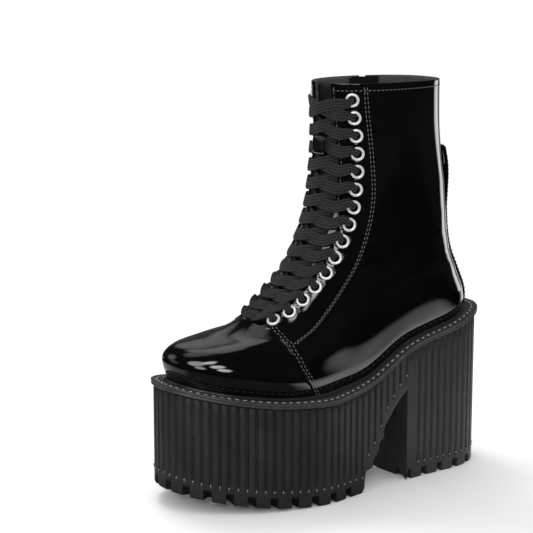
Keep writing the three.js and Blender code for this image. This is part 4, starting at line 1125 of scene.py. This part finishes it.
def addTeeth():  # rounded teeth every half pitch, by turns to either side of the line
    level = np.linspace(zipParts["lowTooth"], zipParts["highTooth"], 400)
    line = offUpper(level, zipAngle(level), zipParts["toothLift"])
    centres, outward = evenAlong(line, zipParts["toothPitch"] / 2, upperNormal(level, zipAngle(level)))
    forward, outward = unit(np.gradient(centres, axis=0)), unit(outward)
    aside = unit(np.cross(outward, forward))
    shift = np.where(np.arange(len(centres)) % 2 == 0, 1, -1)[:, None] * zipParts["toothShift"]
    teeth = addCopies("zipTeeth", centres + aside * shift, forward, outward, zipParts["toothSize"], "zipMetal")
    settle(teeth, ["zip_teeth"])


def addSlider():  # body, bridge, link and tab in the slider's own directions: sideways, up, outward
    level = last["topLevel"] - 0.3 - slider["down"] / (last["collarHeight"] - last["heelHeight"])
    angle = zipAngle(np.array(level))
    centre = upperPoint(level, angle)
    outward = upperNormal(level, angle) * np.array([1, 1, 0])
    outward = outward / np.linalg.norm(outward)
    sideways = np.cross(upward, outward)
    axes = [sideways, upward, outward]

    def at(up, out):  # centre + upward * up + outward * out
        return centre + upward * up + outward * out

    blocks = [(at(up, out), half) for up, out, half in slider["blocks"]]
    settle(addBlocks("sliderBody", blocks, axes, "zipMetal"), ["zip_slider"])
    turn = fullTurn(48)
    across, along = (half * signedPower(wave, 0.5)[:, None]
                     for half, wave in zip(slider["linkHalf"], (np.cos(turn), np.sin(turn))))
    loop = at(slider["linkUp"], slider["out"]) + sideways * across + upward * along
    points = tubeRound(loop, unit(np.cross(loopHeading(loop), outward)), outward, slider["linkRadius"], 10)
    settle(addMesh("pullLink", points, ringQuads(10, len(turn)), finishes["zipMetal"]), [], "pull")
    tab = addBlocks("pullTab", [(at(slider["tabUp"], slider["out"]), slider["tabHalf"])], axes, "trim")
    settle(tab, ["zip_pull"], "pull")


addZipSheet("zipTapes", ["zip_tape"], np.linspace(zipLine["end"] - 0.25, 12.93, 120),
            zipParts["tapeHigh"], zipParts["tapeLow"], "tape", 0.3)
addTeeth()
addZipSheet("zipGuardFlap", ["zip_guard"], np.linspace(zipParts["guardFrom"], 12.96, 60),
            zipParts["guardHigh"], zipParts["guardLow"], "trim", 0.6)
addSlider()
finishSeams()
print("zip and seams made")


# Floor, light and camera

# values of the floor and of the backdrop that mirrors see; distances in metres, the rest shares
studio = {"floor": 0.88, "floorSize": 1.1, "ambient": 1.12, "nearFloor": 0.2, "farFloor": 0.46, "whiteFrom": 0.3,
          "whiteTo": 0.62, "mirrorFrom": 0.9, "mirrorTo": 1.0, "mirrorLow": 0.012, "mirrorHigh": 0.08,
          "behind": (-0.83, 0.5578, 0.0)}
# azimuth, height, inner and outer angle, strength: what mirrors show besides the bright backdrop
softboxes = [(-68, 20, 5, 13, 3.0), (-84, 44, 9, 18, 3.0), (-60, 56, 4, 9, 5.0), (-42, 36, 5, 10, 5.0),
             (-34, 20, 4, 9, 5.0), (-134, 10, 3, 17, 0.3), (-165, 62, 5, 16, 0.5), (-154, 25, 5, 14, 0.5),
             (158, 50, 6, 16, 0.6), (158, 27, 4, 12, 0.3), (99, -6, 4, 11, 1.7), (112, 0, 8, 26, 0.2)]
lights = {
    "key": {"at": (1317, -1210, 838), "aim": (21, -198, 106), "size": (260, 200), "power": 5.0},
    "left": {"at": (-1000, -1318, 341), "aim": (-9, -217, 107), "size": (260, 620), "power": 4.0},
    "overhead": {"at": (-644, -113, 1357), "aim": (11, -170, 121), "size": (520, 380), "power": 7.0},
}
camera = {"lens": 106.6, "sensor": 36.0, "shift": -0.0246, "far": 50.0, "at": (929.3, -769.1, 389.0), "pitch": -10.6,
          "heading": (-0.830, 0.5578)}


def fadeOf(tree, value, low, high, toLow=0.0, toHigh=1.0):  # the same as a range, with soft ends
    return rangeOf(tree, value, low, high, toLow, toHigh, "SMOOTHSTEP")


def dotWith(tree, vector, way):  # x1 * x2 + y1 * y2 + z1 * z2
    return addNode(tree, "VectorMath", {"operation": "DOT_PRODUCT"}, {0: vector, 1: way}).outputs["Value"]


def eitherOf(tree, share, first, second):  # the first shader, and the second by its share
    return addNode(tree, "MixShader", None, {0: share, 1: first, 2: second}).outputs[0]


def addStage():  # pale floor: dark in mirrors by its reach and towards the toe's side, plain white far out
    material, tree, shader, place = newMaterial("paleFloor", {"Roughness": 0.6, "Specular IOR Level": 0.25})
    tone = studio["floor"]
    base = colourMix(tree, noiseAt(tree, place, 2.0, 2.0), grey(tone), (tone * 1.02, tone * 1.02, tone * 1.01, 1))
    tree.links.new(base, shader.inputs["Base Color"])
    reach = addNode(tree, "VectorMath", {"operation": "LENGTH"}, {0: place}).outputs["Value"]
    parts = addNode(tree, "SeparateXYZ", None, {0: place}).outputs
    ray = addNode(tree, "LightPath").outputs
    fore = maths(tree, "MULTIPLY", fadeOf(tree, parts["Y"], 0.03, -0.1, 0.0, 0.95),
                 fadeOf(tree, parts["X"], -0.14, -0.02, 0.5, 1.0))
    rear = fadeOf(tree, maths(tree, "DIVIDE", dotWith(tree, place, studio["behind"]), reach), 0.55, 0.8, 1.0, 0.1)
    far = fadeOf(tree, reach, studio["nearFloor"], studio["farFloor"])
    dark = maths(tree, "MAXIMUM", maths(tree, "MULTIPLY", far, rear), fore)
    dark = maths(tree, "MULTIPLY", dark, ray["Is Glossy Ray"])
    white = fadeOf(tree, reach, studio["whiteFrom"], studio["whiteTo"])
    white = maths(tree, "MULTIPLY", white, ray["Is Camera Ray"])
    black = addNode(tree, "Emission", None, {"Color": (0, 0, 0, 1)}).outputs[0]
    glow = addNode(tree, "Emission", None, {"Color": (1, 1, 1, 1), "Strength": 1.0}).outputs[0]
    surface = eitherOf(tree, white, eitherOf(tree, dark, shader.outputs[0], black), glow)
    tree.links.new(surface, tree.nodes["Material Output"].inputs["Surface"])
    size = studio["floorSize"]
    mesh = bpy.data.meshes.new("floorPlane")
    mesh.from_pydata([(-size, -size, 0), (size, -size, 0), (size, size, 0), (-size, size, 0)], [], [(0, 1, 2, 3)])
    mesh.materials.append(material)
    floor = bpy.data.objects.new("floorPlane", mesh)
    bpy.context.scene.collection.objects.link(floor)


def addWorld():  # even light; in mirrors a studio dark on the camera's side, bright behind the boot
    world = bpy.data.worlds.new("studioWorld")
    bpy.context.scene.world = world
    world.use_nodes = True
    tree = world.node_tree
    tree.nodes.clear()
    way = addNode(tree, "TexCoord").outputs["Generated"]
    bright = fadeOf(tree, dotWith(tree, way, studio["behind"]), studio["mirrorFrom"], studio["mirrorTo"],
                    studio["mirrorLow"], studio["mirrorHigh"])
    for azimuth, height, inner, outer, strength in softboxes:  # each fades by the angle from its middle
        a, h = np.radians(azimuth), np.radians(height)
        near = dotWith(tree, way, (np.cos(h) * np.cos(a), np.cos(h) * np.sin(a), np.sin(h)))
        box = fadeOf(tree, near, np.cos(np.radians(outer)), np.cos(np.radians(inner)), 0.0, strength)
        bright = maths(tree, "ADD", bright, box)
    mirror, even, seen = (addNode(tree, "Background", None, {"Color": (1, 1, 1, 1), "Strength": strength}).outputs[0]
                          for strength in (bright, studio["ambient"], 1.0))
    ray = addNode(tree, "LightPath").outputs
    surface = eitherOf(tree, ray["Is Camera Ray"], eitherOf(tree, ray["Is Glossy Ray"], even, mirror), seen)
    tree.links.new(surface, addNode(tree, "OutputWorld").inputs["Surface"])


def addLights():  # rectangles turned from their place to their aim, left out of mirrors
    for name, values in lights.items():
        light = bpy.data.lights.new(name, "AREA")
        light.shape = "RECTANGLE"
        light.size, light.size_y = (v * 0.001 for v in values["size"])
        light.energy = values["power"]
        lamp = bpy.data.objects.new(name, light)
        lamp.location = Vector(values["at"]) * 0.001
        lamp.rotation_euler = (Vector(values["aim"]) * 0.001 - lamp.location).to_track_quat("-Z", "Y").to_euler()
        lamp.visible_glossy = False
        bpy.context.scene.collection.objects.link(lamp)


def addCamera():  # heading * cos(pitch) ahead and sin(pitch) up, from its place
    shot = bpy.data.cameras.new("photoCamera")
    shot.lens = camera["lens"]
    shot.sensor_width = camera["sensor"]
    shot.shift_y = camera["shift"]
    shot.clip_end = camera["far"]
    eye = bpy.data.objects.new("photoCamera", shot)
    eye.location = Vector(camera["at"]) * 0.001
    pitch = np.radians(camera["pitch"])
    ahead, aside = camera["heading"]
    forward = Vector((ahead * np.cos(pitch), aside * np.cos(pitch), np.sin(pitch)))
    eye.rotation_euler = forward.to_track_quat("-Z", "Y").to_euler()
    bpy.context.scene.collection.objects.link(eye)
    bpy.context.scene.camera = eye


addStage()
addWorld()
addLights()
addCamera()
bpy.context.scene.view_settings.view_transform = "Standard"
print("stage, light and camera made")
